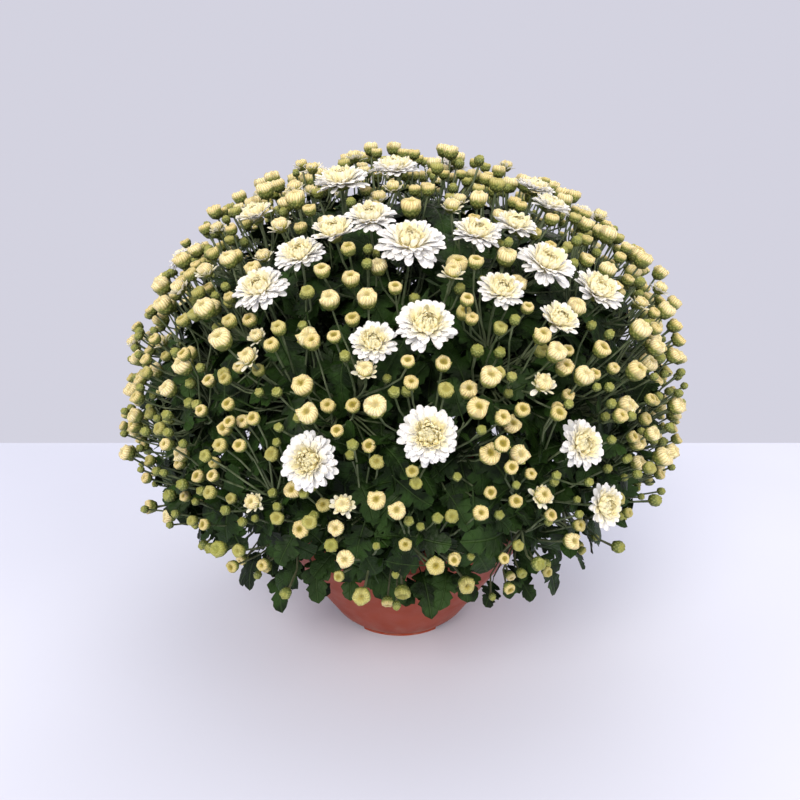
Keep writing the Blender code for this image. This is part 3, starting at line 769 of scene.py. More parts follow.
class Flow:
    """A number that flows through a node tree. Arithmetic on it adds Math nodes."""

    def __init__(self, graph: "Graph", socket: Socket) -> None:
        """Wraps an output socket of the graph."""
        self.graph, self.socket = graph, socket

    __add__, __radd__ = operator("ADD"), operator("ADD", True)
    __sub__, __rsub__ = operator("SUBTRACT"), operator("SUBTRACT", True)
    __mul__, __truediv__, __pow__ = operator("MULTIPLY"), operator("DIVIDE"), operator("POWER")
    __lt__, __gt__ = operator("LESS_THAN"), operator("GREATER_THAN")

    def clamped(self) -> "Flow":
        """The same number, held between 0 and 1 by its own node."""
        self.socket.node.use_clamp = True
        return self


class Graph:
    """A node tree of any kind, built node by node."""

    def __init__(self, tree: bpy.types.NodeTree) -> None:
        """Takes the tree to build in."""
        self.tree = tree

    def feed(self, socket: Socket, value: object) -> None:
        """Links a socket or flow to an input, or sets the input's value.

        Args:
            socket: The input.
            value: What goes into it. A colour has three parts.
        """
        if isinstance(value, Flow):
            value = value.socket
        if isinstance(value, bpy.types.NodeSocket):
            self.tree.links.new(value, socket)
        elif socket.type == "RGBA":
            socket.default_value = (*value, 1.0)
        else:
            socket.default_value = value

    def node(self, kind: str, inputs: dict[str, object], **settings: object) -> bpy.types.Node:
        """Adds a node.

        Args:
            kind: The node's type name.
            inputs: Values or sockets for its inputs, by name or identifier.
            settings: Properties of the node.

        Returns:
            The node.
        """
        made = self.tree.nodes.new(kind)
        for name, value in settings.items():
            setattr(made, name, value)
        for name, value in inputs.items():
            self.feed(next(s for s in made.inputs if name in (s.identifier, s.name) and s.enabled), value)
        return made

    def flow(self, kind: str, inputs: dict[str, object], **settings: object) -> Flow:
        """Adds a node as node does, and gives its first output in use."""
        made = self.node(kind, inputs, **settings)
        return Flow(self, next(s for s in made.outputs if s.enabled))

    def math(self, operation: str, *values: object) -> Flow:
        """The result of a Math node on numbers or sockets."""
        inputs = dict(zip(("Value", "Value_001", "Value_002"), values))
        return self.flow("ShaderNodeMath", inputs, operation=operation)


class Tree(Graph):
    """A Geometry Nodes tree with named inputs."""

    def __init__(self, name: str, inputs: dict[str, str]) -> None:
        """Starts a tree with a geometry input and output.

        Args:
            name: The tree's name.
            inputs: Kind of each named input, such as Float or Material.
        """
        super().__init__(bpy.data.node_groups.new(name, "GeometryNodeTree"))
        face = self.tree.interface
        face.new_socket("Geometry", in_out="INPUT", socket_type="NodeSocketGeometry")
        face.new_socket("Geometry", in_out="OUTPUT", socket_type="NodeSocketGeometry")
        self.inlet = self.tree.nodes.new("NodeGroupInput")
        self.outlet = self.tree.nodes.new("NodeGroupOutput")
        self.identifiers = {
            title: face.new_socket(title, in_out="INPUT", socket_type="NodeSocket" + kind).identifier
            for title, kind in inputs.items()}

    def input(self, name: str) -> Flow:
        """A named input, inside the tree."""
        return Flow(self, self.inlet.outputs[name])

    def named(self, name: str, kind: str) -> Flow:
        """A named attribute of this data type."""
        return self.flow("GeometryNodeInputNamedAttribute", {"Name": name}, data_type=kind)

    def store(self, geometry: Flow, name: str, value: Flow, kind: str, domain: str) -> Flow:
        """The geometry with a named attribute of this data type, carried by its domain."""
        return self.flow("GeometryNodeStoreNamedAttribute",
                         {"Geometry": geometry, "Name": name, "Value": value}, data_type=kind, domain=domain)

    def planted(self, points: Flow, form: Flow, turn: Flow, size: Flow) -> Flow:
        """Instances of the input's shapes on points: which shape each is, its turn and its size."""
        shapes = self.flow("GeometryNodeCollectionInfo", {
            "Collection": self.input("Shapes"), "Separate Children": True, "Reset Children": True})
        return self.flow("GeometryNodeInstanceOnPoints", {
            "Points": points, "Instance": shapes, "Pick Instance": True, "Instance Index": form,
            "Rotation": turn, "Scale": size})

    def finish(self, instances: Flow) -> None:
        """Ends the tree in Realize Instances and Set Material."""
        whole = self.flow("GeometryNodeRealizeInstances", {"Geometry": instances})
        dressed = self.flow("GeometryNodeSetMaterial", {"Geometry": whole, "Material": self.input("Finish")})
        self.feed(self.outlet.inputs["Geometry"], dressed)

    def grow(self, mesh: Mesh, values: dict[str, object]) -> Mesh:
        """Runs the tree on a mesh.

        Args:
            mesh: The mesh that goes in. Its object is removed afterwards.
            values: A value for each named input.

        Returns:
            The plain mesh that comes out.
        """
        source = placed("source", mesh)
        modifier = source.modifiers.new("grow", "NODES")
        modifier.node_group = self.tree
        for name, value in values.items():
            modifier[self.identifiers[name]] = value
        graph = bpy.context.evaluated_depsgraph_get()
        made = bpy.data.meshes.new_from_object(source.evaluated_get(graph), preserve_all_data_layers=True,
                                               depsgraph=graph)
        bpy.data.objects.remove(source)
        return made


class PlantingTree(Tree):
    """Puts one of several shapes on each point, turned and sized as the point says."""

    def __init__(self) -> None:
        """Builds the tree."""
        super().__init__("planting", {"Shapes": "Collection", "Finish": "Material"})
        self.finish(self.planted(self.input("Geometry"), self.named("form", "INT"),
                                 self.named("turn", "QUATERNION"), self.named("size", "FLOAT_VECTOR")))


class TubeTree(Tree):
    """Turns polylines into tubes of the girth that their points carry."""

    def __init__(self) -> None:
        """Builds the tree."""
        super().__init__("tubes", {"Sides": "Int", "Finish": "Material"})
        line = self.flow("GeometryNodeMeshToCurve", {"Mesh": self.input("Geometry")})
        circle = self.flow("GeometryNodeCurvePrimitiveCircle", {
            "Resolution": self.input("Sides"), "Radius": 1.0}, mode="RADIUS")
        curve, profile = (
            self.store(spline, name, self.flow("GeometryNodeSplineParameter", {}), "FLOAT", "POINT")
            for spline, name in ((line, "along"), (circle, "across")))
        tube = self.flow("GeometryNodeCurveToMesh", {
            "Curve": curve, "Profile Curve": profile, "Scale": self.named("girth", "FLOAT"),
            "Fill Caps": True})
        self.finish(self.flow("GeometryNodeSetShadeSmooth", {"Geometry": tube}))


@dataclass(frozen=True)
class FlowerForm:
    """How the petals of a flower stand. Lengths are shares of its width, and angles are from its axis."""

    turn_play: float = 0.14
    inner_tilt: float = 0.34
    outer_tilt: float = 0.62
    tilt_opened: float = 1.30
    tilt_fall: float = 0.95
    tilt_play: float = 0.11
    strays: float = 1.5
    stray_openness: float = 0.5
    stray_tilt: float = 0.30
    reach: float = 0.64
    reach_less: float = 0.25
    inner_reach: float = 0.25
    outer_reach: float = 0.76
    reach_fall: float = 0.62
    reach_play: Pair = (0.82, 1.04)
    disc: float = 0.04
    disc_opened: float = 0.13
    disc_from: float = 0.40
    disc_fall: float = 0.6
    height: float = 0.02
    height_rise: float = 0.07
    slimness: float = 1.02
    slimness_rise: float = 0.12
    roll_play: float = 0.28
    cream_opened: float = 0.85
    cream_less: float = 0.34
    cream_over: float = 0.20
    rays_opened: float = 0.60
    floret_steps: Pair = (0.15, 0.34)


class FlowerTree(Tree):
    """A flower head: petals in a spiral, from flat outer rays to hooked inner florets."""

    form = FlowerForm()

    def __init__(self) -> None:
        """Builds the tree."""
        super().__init__("flower", {"Petals": "Int", "Width": "Float", "Openness": "Float", "Filled": "Float",
                                    "Seed": "Int", "Shapes": "Collection", "Finish": "Material"})
        form = self.form
        petals, width, self.openness = (self.input(name) for name in ("Petals", "Width", "Openness"))
        self.index = self.flow("GeometryNodeInputIndex", {})
        self.share = self.input("Filled") * (self.index / (petals - 1.0))
        rest = 1.0 - self.share
        azimuth = self.index * GOLDEN_ANGLE + self.chance(1, -form.turn_play, form.turn_play)
        radius = width * (form.disc + self.openness * form.disc_opened)
        radius = radius * (rest / form.disc_from).clamped() ** form.disc_fall
        place = self.flow("ShaderNodeCombineXYZ", {
            "X": self.math("SINE", azimuth) * (radius * -1.0), "Y": self.math("COSINE", azimuth) * radius,
            "Z": width * (form.height + self.share * form.height_rise)})
        points = self.flow("GeometryNodeSetPosition", {
            "Geometry": self.flow("GeometryNodePoints", {"Count": petals}), "Position": place})
        flower = self.planted(points, self.petal_form(), self.petal_turn(rest, azimuth),
                              self.petal_size(rest, width))
        cream_from = self.openness * form.cream_opened - form.cream_less
        cream = ((self.share - cream_from) / form.cream_over).clamped()
        flower = self.store(flower, "cream", cream, "FLOAT", "INSTANCE")
        self.finish(self.store(flower, "patch", self.index, "INT", "INSTANCE"))

    def chance(self, channel: int, low: float, high: float) -> Flow:
        """A random number for each petal between two limits, on a channel of its own."""
        seed = self.input("Seed") + float(channel)
        return self.flow("FunctionNodeRandomValue", {
            "Min_001": low, "Max_001": high, "ID": self.index, "Seed": seed}, data_type="FLOAT")

    def petal_form(self) -> Flow:
        """Which petal shape stands at each place: two kinds of ray outside, three of floret inside.

        Returns:
            The shape's index.
        """
        rays = self.openness * self.form.rays_opened
        inner = self.share > rays
        first, second = (self.share > rays + step for step in self.form.floret_steps)
        ray = self.math("FLOOR", self.chance(4, 0.0, 1.999))
        return ray * (1.0 - inner) + (2.0 + (first + second)) * inner

    def petal_turn(self, rest: Flow, azimuth: Flow) -> Flow:
        """Tilts each petal from the axis, swings it round, and rolls it a little about itself.

        Args:
            rest: Share of the way out from the middle.
            azimuth: Its angle round the axis.

        Returns:
            The turn.
        """
        form = self.form
        outer = form.outer_tilt + self.openness * form.tilt_opened
        spread = (outer - form.inner_tilt) * rest ** form.tilt_fall
        stray = (self.index < form.strays) * (self.openness < form.stray_openness) * form.stray_tilt
        tilt = form.inner_tilt + spread + stray + self.chance(2, -form.tilt_play, form.tilt_play)
        euler = self.flow("ShaderNodeCombineXYZ", {"X": math.pi / 2.0 - tilt, "Y": 0.0, "Z": azimuth})
        roll = self.flow("FunctionNodeAxisAngleToRotation", {
            "Axis": (0.0, 1.0, 0.0), "Angle": self.chance(5, -form.roll_play, form.roll_play)})
        return self.flow("FunctionNodeRotateRotation", {
            "Rotation": self.flow("FunctionNodeEulerToRotation", {"Euler": euler}), "Rotate By": roll},
            rotation_space="LOCAL")

    def petal_size(self, rest: Flow, width: Flow) -> Flow:
        """Each petal's size: its reach, a little slimmer further out.

        Args:
            rest: Share of the way out from the middle.
            width: The flower's width.

        Returns:
            The size along the petal's axes.
        """
        form = self.form
        longest = width * (form.reach - self.openness * form.reach_less)
        share = form.inner_reach + rest ** form.reach_fall * form.outer_reach
        reach = longest * (share * self.chance(3, *form.reach_play))
        slim = form.slimness + self.share * form.slimness_rise
        return self.flow("ShaderNodeCombineXYZ", {"X": reach * slim, "Y": reach, "Z": reach})


# Shapes that are planted

def placed(name: str, data: bpy.types.ID) -> Piece:
    """Makes an object of a mesh, lamp or camera in the scene."""
    made = bpy.data.objects.new(name, data)
    bpy.context.scene.collection.objects.link(made)
    return made


class Shape:
    """A closed mesh with a place on a unit map for each corner."""

    def __init__(self) -> None:
        """Starts with nothing."""
        self.points: list[tuple[Vector, float, float]] = []
        self.faces: list[tuple[int, ...]] = []
        self.maps: list[list[Pair]] = []

    def point(self, place: Vector, along: float, across: float) -> int:
        """Adds a point at this share of the way along the shape and across it, and gives its index."""
        self.points.append((place, along, across))
        return len(self.points) - 1

    def face(self, corners: tuple[int, ...], chart: float = 0.0, wide: float = 0.5) -> None:
        """Adds a face, mapped by along and across onto a chart of this width."""
        self.faces.append(corners)
        rows = [self.points[k] for k in corners]
        self.maps.append([(chart + wide * (0.5 + 0.5 * across), along) for _, along, across in rows])

    def to_object(self, name: str, group: bpy.types.Collection) -> None:
        """Makes a mesh object with its map and its along and across attributes.

        Args:
            name: The object's name.
            group: The collection that it goes in.
        """
        mesh = bpy.data.meshes.new(name)
        mesh.from_pydata([tuple(point[0]) for point in self.points], [], self.faces)
        for place, title in ((1, "along"), (2, "across")):
            values = [point[place] for point in self.points]
            mesh.attributes.new(title, "FLOAT", "POINT").data.foreach_set("value", values)
        layer = mesh.uv_layers.new(name=MAP_NAME)
        layer.data.foreach_set("uv", [n for face in self.maps for corner in face for n in corner])
        mesh.shade_smooth()
        shell = bmesh.new()
        shell.from_mesh(mesh)
        bmesh.ops.recalc_face_normals(shell, faces=shell.faces)
        sharpest = 1.35
        for edge in shell.edges:
            edge.smooth = edge.calc_face_angle(0.0) < sharpest
        shell.to_mesh(mesh)
        shell.free()
        group.objects.link(bpy.data.objects.new(name, mesh))


@dataclass(frozen=True)
class LeafShape:
    """A lobed leaf of unit length along +Y, on its own short stalk."""

    # From the root to the tip: share of the length, half width, and the rib point that it belongs to
    outline: tuple[tuple[float, float, int], ...] = (
        (0.00, 0.012, 0), (0.17, 0.016, 1), (0.215, 0.110, 1), (0.255, 0.205, 2), (0.315, 0.240, 2),
        (0.370, 0.195, 2), (0.390, 0.110, 3), (0.430, 0.230, 3), (0.480, 0.315, 3), (0.540, 0.325, 3),
        (0.575, 0.275, 4), (0.625, 0.295, 4), (0.665, 0.225, 4), (0.655, 0.115, 4), (0.705, 0.180, 5),
        (0.765, 0.230, 5), (0.820, 0.175, 5), (0.875, 0.180, 6), (0.955, 0.125, 6),
    )
    rib: tuple[float, ...] = (0.0, 0.18, 0.31, 0.45, 0.60, 0.74, 0.88)
    droop: float = 0.30
    droop_from: float = 0.25
    fold: float = 0.20
    cup: float = 0.55
    wave: float = 0.05
    sway: float = 0.05
    thickness: float = 0.014
    stalk_width: float = 0.05
    edge_play: float = 0.018
    width_play: Pair = (0.90, 1.06)
    full_half: float = 0.36
    seed: int = 0

    def lay(self, share: float, half: float, lift: float) -> Vector:
        """Folds the blade along its rib, and lets it droop and wave.

        Args:
            share: Share of the way along the leaf.
            half: Distance from the rib.
            lift: Distance above the blade's middle.

        Returns:
            The place of that point.
        """
        past = max(0.0, share - self.droop_from)
        height = (self.fold * abs(half) - self.droop * past * past - self.cup * half * half
                  + self.wave * math.sin(9.0 * share + self.seed) * abs(half) * 2.0)
        side = self.sway * math.sin(2.5 * share + self.seed)
        return Vector((half + side * past, share, height + lift))

    def build(self) -> Shape:
        """The closed blade.

        Returns:
            The shape, with the upper side and the under side on charts of their own.
        """
        shape = Shape()
        draw = random.Random(Seed.LEAF_SHAPE + self.seed)
        upper, lower = ([shape.point(self.lay(y, 0.0, lift * self.thickness), y, 0.0) for y in self.rib]
                        for lift in (0.2, -0.8))
        tip = shape.point(self.lay(1.0, 0.0, 0.0), 1.0, 0.0)
        firsts = []
        for side in (-1.0, 1.0):
            edge = []
            for y, half, _ in self.outline:
                play = self.edge_play if half > self.stalk_width else 0.0
                half = half * draw.uniform(*self.width_play)
                place = self.lay(y + draw.uniform(-play, play), side * half, 0.0)
                edge.append(shape.point(place, y, side * half / self.full_half))
            firsts.append(edge[0])
            for k, corner in enumerate(edge):
                a, b = self.outline[k][2], self.outline[min(k + 1, len(edge) - 1)][2]
                onward = edge[k + 1] if k + 1 < len(edge) else tip
                for ribs, chart in ((upper, 0.0), (lower, 0.5)):
                    inner = (ribs[a],) if a == b else (ribs[b], ribs[a])
                    shape.face((corner, onward, *inner), chart)
        shape.face((upper[0], firsts[0], lower[0], firsts[1]))
        return shape


@dataclass(frozen=True)
class PetalShape:
    """A blunt petal of unit length along +Y, which curls along its length and is dished across."""

    # From the root to the tip: share of the length, half width
    rows: tuple[Pair, ...] = ((0.0, 0.055), (0.26, 0.112), (0.56, 0.166), (0.80, 0.168), (0.95, 0.102))
    start_pitch: float = 0.0
    curl: float = 0.3
    dish: float = 0.25
    thickness: float = 0.035
    tip_drop: float = 0.01
    twist: float = 0.0

    def build(self) -> Shape:
        """The closed petal.

        Returns:
            The shape, with the upper side and the under side on charts of their own.
        """
        shape = Shape()
        sides = ((0, 1, 0.0), (1, 2, 0.0), (2, 3, 0.5), (3, 0, 0.5))
        place, before = Vector(), 0.0
        edges: list[list[int]] = []
        for share, half in self.rows + ((1.0, 0.0),):
            pitch = self.start_pitch + self.curl * ((share + before) / 2.0) ** 1.4
            place = place + Vector((0.0, math.cos(pitch), math.sin(pitch))) * (share - before)
            before = share
            face = Vector((0.0, -math.sin(pitch), math.cos(pitch)))
            if half == 0.0:
                tip = shape.point(place - face * self.tip_drop, 1.0, 0.0)
                break
            rise = self.dish * half
            roll = Quaternion((0.0, 1.0, 0.0), self.twist * share)
            edges.append([])
            for side, lift in ((-1.0, rise), (0.0, 0.0), (1.0, rise), (0.0, -self.thickness)):
                corner = (roll @ (Vector((side * half, 0.0, 0.0)) + face * lift)) + place
                edges[-1].append(shape.point(corner, share, side))
        for one, other in zip(edges, edges[1:]):
            for a, b, chart in sides:
                shape.face((one[a], one[b], other[b], other[a]), chart)
        for a, b, chart in sides:
            shape.face((edges[-1][a], edges[-1][b], tip), chart)
        shape.face(tuple(edges[0]))
        return shape


@dataclass(frozen=True)
class TurnedShape:
    """A closed body of rings about +Z whose ridges stand for scales or folded florets."""

    # From the foot up: radius, height, and how far the ridges stand out
    rings: tuple[Triple, ...]
    sides: int
    pole: float
    swirl: float = 0.0
    ragged: float = 0.0
    ridged: bool = True
    seed: int = 0

    def build(self) -> Shape:
        """The closed body.

        Returns:
            The shape, whose map goes once round it.
        """
        shape = Shape()
        draw = random.Random(Seed.TURNED_SHAPE + self.seed)
        bulges = [(-1.0) ** k * draw.uniform(0.5, 1.3) if self.ridged else draw.uniform(-1.2, 1.2)
                  for k in range(self.sides)]
        rows = []
        for level, (radius, height, ridge) in enumerate(self.rings):
            row = []
            for k, bulge in enumerate(bulges):
                angle = FULL_TURN * k / self.sides + self.swirl * level
                out = radius * (1.0 + ridge * bulge) + draw.uniform(-1.0, 1.0) * self.ragged
                lift = height + ridge * 0.8 * bulge + draw.uniform(-1.0, 1.0) * self.ragged
                row.append(shape.point(Vector((math.cos(angle) * out, math.sin(angle) * out, lift)),
                                       level / len(self.rings), 2.0 * k / self.sides - 1.0))
            rows.append(row)
        for low, high in zip(rows, rows[1:]):
            for k in range(self.sides):
                onward = (k + 1) % self.sides
                shape.face((low[k], low[onward], high[onward], high[k]), 0.0, 1.0)
                if onward == 0:
                    last = 1.0 - 1.0 / self.sides
                    shape.maps[-1] = [(u, shape.points[corner][1]) for u, corner in (
                        (last, low[k]), (1.0, low[k]), (1.0, high[k]), (last, high[k]))]
        foot = shape.point(Vector((0.0, 0.0, self.rings[0][1])), 0.0, 0.0)
        pole = shape.point(Vector((0.0, 0.0, self.pole)), 1.0, 0.0)
        for k in range(self.sides):
            shape.face((rows[0][(k + 1) % self.sides], rows[0][k], foot), 0.0, 1.0)
            shape.face((rows[-1][k], rows[-1][(k + 1) % self.sides], pole), 0.0, 1.0)
        return shape


class Library:
    """The shapes that the trees plant, in groups out of sight."""

    narrow = ((0.00, 0.010, 0), (0.20, 0.035, 1), (0.34, 0.095, 2), (0.46, 0.070, 3), (0.60, 0.110, 4),
              (0.76, 0.060, 5), (0.90, 0.045, 6))
    folds = (0.30, 0.12, 0.22, 0.05, 0.34, 0.18)
    tight = ((0.20, 0.0, 0.0), (0.80, 0.28, 0.05), (1.00, 0.86, 0.05), (0.90, 1.28, 0.08), (0.66, 1.50, 0.05))
    cracked = ((0.20, 0.0, 0.0), (0.76, 0.24, 0.04), (1.01, 0.72, 0.05), (0.99, 1.04, 0.12))
    flat = ((0.12, -0.02, 0.0), (0.40, 0.08, 0.05), (0.60, 0.32, 0.08))
    saucer = ((0.12, -0.02, 0.0), (0.30, 0.02, 0.04), (0.38, 0.13, 0.05))
    tip = ((0.74, 1.28, 0.0), (0.66, 1.56, 0.07), (0.32, 1.76, 0.08))
    ring = ((0.90, 0.70, 0.0), (1.03, 1.10, 0.05), (0.90, 1.48, 0.06), (0.52, 1.53, 0.06), (0.26, 1.30, 0.03))
    wide_ring = ((0.90, 0.70, 0.0), (1.02, 1.08, 0.05), (0.92, 1.42, 0.06), (0.64, 1.48, 0.05),
                 (0.40, 1.28, 0.03))
    ball = ((0.84, 0.60, 0.0), (1.06, 1.08, 0.06), (1.00, 1.52, 0.08), (0.62, 1.72, 0.08), (0.26, 1.50, 0.04))
    crumb = ((0.45, -0.6, 0.12), (0.95, -0.1, 0.15), (0.60, 0.55, 0.12))

    def __init__(self) -> None:
        """Builds each group."""
        self.groups: dict[str, bpy.types.Collection] = {}
        self.fill("leaves", [LeafShape(droop=0.22 + 0.13 * k, fold=fold, wave=0.03 + 0.012 * k, seed=k)
                             for k, fold in enumerate(self.folds)])
        self.fill("bracts", [LeafShape(outline=self.narrow, droop=0.3 + 0.4 * k, seed=9 + k)
                             for k in range(2)])
        self.fill("petals", [
            PetalShape(start_pitch=0.20, curl=-0.45, dish=0.12),
            PetalShape(start_pitch=0.26, curl=-0.20, dish=0.20, twist=0.18),
            PetalShape(start_pitch=0.05, curl=0.95, dish=0.55),
            PetalShape(start_pitch=-0.15, curl=2.1, dish=0.75, thickness=0.05),
            PetalShape(start_pitch=-0.25, curl=3.0, dish=0.60, thickness=0.07),
        ])
        self.fill("cups", [
            TurnedShape(self.tight, 9, 1.42, seed=1), TurnedShape(self.tight, 10, 1.44, swirl=0.12, seed=2),
            TurnedShape(self.cracked, 10, 0.80, seed=3),
            TurnedShape(self.cracked, 9, 0.80, swirl=0.1, seed=4),
            TurnedShape(self.flat, 10, 0.28, seed=5), TurnedShape(self.saucer, 10, 0.12, seed=6),
        ])
        self.fill("florets", [
            TurnedShape(self.tip, 9, 1.66, swirl=0.2, seed=10),
            TurnedShape(self.tip, 8, 1.68, swirl=-0.2, seed=11),
            TurnedShape(self.ring, 12, 1.16, swirl=0.12, ragged=0.050, ridged=False, seed=12),
            TurnedShape(self.wide_ring, 13, 1.22, swirl=-0.10, ragged=0.055, ridged=False, seed=13),
            TurnedShape(self.ball, 13, 1.38, swirl=0.13, ragged=0.070, ridged=False, seed=14),
            TurnedShape(self.ball, 12, 1.40, swirl=-0.12, ragged=0.085, ridged=False, seed=15),
        ])
        self.fill("crumbs", [TurnedShape(self.crumb, 6, 0.8, ragged=0.16, seed=21 + k) for k in range(4)])

    def fill(self, title: str, shapes: list[LeafShape] | list[PetalShape] | list[TurnedShape]) -> None:
        """Makes one group from its shapes."""
        group = bpy.data.collections.new("shapes_" + title)
        bpy.context.scene.collection.children.link(group)
        for k, shape in enumerate(shapes):
            shape.build().to_object(f"shape_{title}_{k}", group)
        self.groups[title] = group

    def clear(self) -> None:
        """Removes the groups and their shapes."""
        for group in self.groups.values():
            for obj in list(group.objects):
                bpy.data.objects.remove(obj)
            bpy.data.collections.remove(group)


# Finishes

class ShaderNodes(Graph):
    """Builds the node tree of a material."""

    def __init__(self, name: str) -> None:
        """Starts a material with its Principled shader."""
        self.material = bpy.data.materials.new(name)
        self.material.use_nodes = True
        super().__init__(self.material.node_tree)
        self.shader = self.tree.nodes["Principled BSDF"]
        self.place = self.tree.nodes.new("ShaderNodeTexCoord").outputs["Object"]

    def attribute(self, name: str) -> Flow:
        """A number that the mesh carries."""
        return Flow(self, self.node("ShaderNodeAttribute", {}, attribute_name=name).outputs["Fac"])

    def wave(self, value: Flow, rate: float) -> Flow:
        """The sine of a number times this rate."""
        return self.math("SINE", value * rate)

    def height(self) -> Socket:
        """Height above the floor."""
        return self.node("ShaderNodeSeparateXYZ", {"Vector": self.place}).outputs["Z"]

    def noise(self, scale: float, detail: float = 3.0, stretch: Triple = (1, 1, 1),
              roughness: float = 0.5) -> Flow:
        """Noise on Object coordinates, in cycles per metre."""
        mapping = self.flow("ShaderNodeMapping", {"Scale": stretch, "Vector": self.place})
        return self.flow("ShaderNodeTexNoise", {
            "Scale": scale, "Detail": detail, "Roughness": roughness, "Vector": mapping})

    def mix(self, factor: object, first: object, second: object) -> Flow:
        """The colour that lies this share of the way from the first to the second."""
        return self.flow("ShaderNodeMix", {"Factor": factor, "A": first, "B": second}, data_type="RGBA")

    def span(self, value: object, low: float, high: float, start: float = 0.0, end: float = 1.0) -> Flow:
        """The value's way from low to high, smoothed, as a number from start to end."""
        return self.flow("ShaderNodeMapRange", {
            "From Min": low, "From Max": high, "To Min": start, "To Max": end, "Value": value},
            interpolation_type="SMOOTHSTEP")

    def bump(self, height: Flow, depth: float, strength: float = 0.6) -> None:
        """Relief of this depth in metres."""
        self.set("Normal", self.flow("ShaderNodeBump", {
            "Strength": strength, "Distance": depth, "Height": height}))

    def set(self, name: str, value: object) -> None:
        """Sets or links an input of the shader."""
        self.feed(self.shader.inputs[name], value)

    def shine(self, grain: float, detail: float, smooth: float, rough: float, specular: float = 0.5,
              limits: Pair = (0.2, 0.8)) -> None:
        """Roughness that varies between two values over a grain, and a specular level."""
        self.set("Roughness", self.span(self.noise(grain, detail), *limits, smooth, rough))
        self.set("Specular IOR Level", specular)

    def glow(self, weight: float, radius: Place) -> None:
        """Light that passes through just under the surface: its weight, and its reach for each colour."""
        self.set("Subsurface Weight", weight)
        self.set("Subsurface Scale", 1.0)
        self.set("Subsurface Radius", radius)


@dataclass(frozen=True)
class LeafFinish:
    """Dark dull green blades with paler ribs, with painted shade towards the stalk and painted light towards
    the tip.
    """

    dark: Colour = (0.0028, 0.0082, 0.0011)
    light: Colour = (0.0180, 0.0440, 0.0070)
    rib: Colour = (0.030, 0.056, 0.014)
    side_veins: float = 34.0
    vein_slant: float = 9.0

    def build(self) -> Material:
        """Builds its nodes.

        Returns:
            The material.
        """
        nodes = ShaderNodes("leaf_blade")
        along, side = nodes.attribute("along"), nodes.math("ABSOLUTE", nodes.attribute("across"))
        vein = nodes.span(nodes.math("SINE", along * self.side_veins - side * self.vein_slant), 0.90, 1.0)
        rib = nodes.span(side, 0.075, 0.02)
        patchy = nodes.mix(nodes.span(nodes.noise(70.0, 4.0), 0.40, 0.66), self.dark, self.light)
        # Painted shade: each blade is painted darker towards its stalk.
        painted_base_shade = nodes.mix(nodes.span(along, 0.55, 0.15, 0.0, 0.7), patchy, self.dark)
        # Random tone for each leaf, and painted light: the blade is painted lighter towards its tip, by a
        # random amount for each leaf.
        random_tone_and_tip_light = nodes.span(nodes.attribute("shade"), 0.35, 1.0) * nodes.span(along, 0.2, 0.8)
        veined = nodes.mix(vein * 0.22, nodes.mix(random_tone_and_tip_light, painted_base_shade, self.light), self.rib)
        nodes.set("Base Color", nodes.mix(rib * 0.55, veined, self.rib))
        nodes.shine(240.0, 2.0, 0.42, 0.60, 0.13)
        nodes.bump(vein * -0.5 + nodes.noise(330.0, 3.0) - rib, 0.0011, 0.8)
        return nodes.material


@dataclass(frozen=True)
class StemFinish:
    """Pale greyish green stalks, browner low on the stems."""

    green: Colour = (0.050, 0.074, 0.028)
    pale: Colour = (0.130, 0.158, 0.084)
    woody: Colour = (0.060, 0.055, 0.025)
    woody_heights: Pair = (0.19, 0.12)
    ridges: float = 50.0

    def build(self) -> Material:
        """Builds its nodes.

        Returns:
            The material.
        """
        nodes = ShaderNodes("stem_skin")
        low = nodes.span(nodes.height(), *self.woody_heights)
        mottling = nodes.span(nodes.noise(180.0, 3.0, (1.0, 1.0, 0.25)), 0.3, 0.7)
        mottled = nodes.mix(mottling, self.green, self.pale)
        nodes.set("Base Color", nodes.mix(low * 0.8, mottled, self.woody))
        nodes.shine(400.0, 2.0, 0.5, 0.7, 0.3)
        ridges = nodes.wave(nodes.attribute("across"), self.ridges)
        nodes.bump(ridges * 0.4 + nodes.noise(1200.0, 2.0), 0.00015)
        return nodes.material


@dataclass(frozen=True)
class CupFinish:
    """Overlapping green scales with paler edges, under every head."""

    green: Colour = (0.105, 0.135, 0.024)
    pale: Colour = (0.42, 0.41, 0.120)
    dark: Colour = (0.030, 0.050, 0.012)
    scales_round: float = 31.4
    scale_rows: float = 22.0

    def build(self) -> Material:
        """Builds its nodes.

        Returns:
            The material.
        """
        nodes = ShaderNodes("cup_scales")
        along = nodes.attribute("along")
        stripes = nodes.wave(nodes.attribute("across"), self.scales_round)
        rows = nodes.wave(along, self.scale_rows)
        body = nodes.mix(nodes.span(along, 0.05, 0.75), self.dark, self.green)
        tipped = nodes.mix(nodes.span(along, 0.45, 1.0), body, self.pale)
        shaded = nodes.mix(nodes.span(nodes.noise(25.0, 2.0), 0.35, 0.65, 0.0, 0.5), tipped, self.green)
        edge = nodes.span(stripes * rows, -0.2, 0.9)
        nodes.set("Base Color", nodes.mix(edge * 0.42, shaded, self.pale))
        nodes.shine(600.0, 2.0, 0.48, 0.62, 0.35)
        nodes.bump(stripes * 0.6 + rows, 0.0002)
        return nodes.material


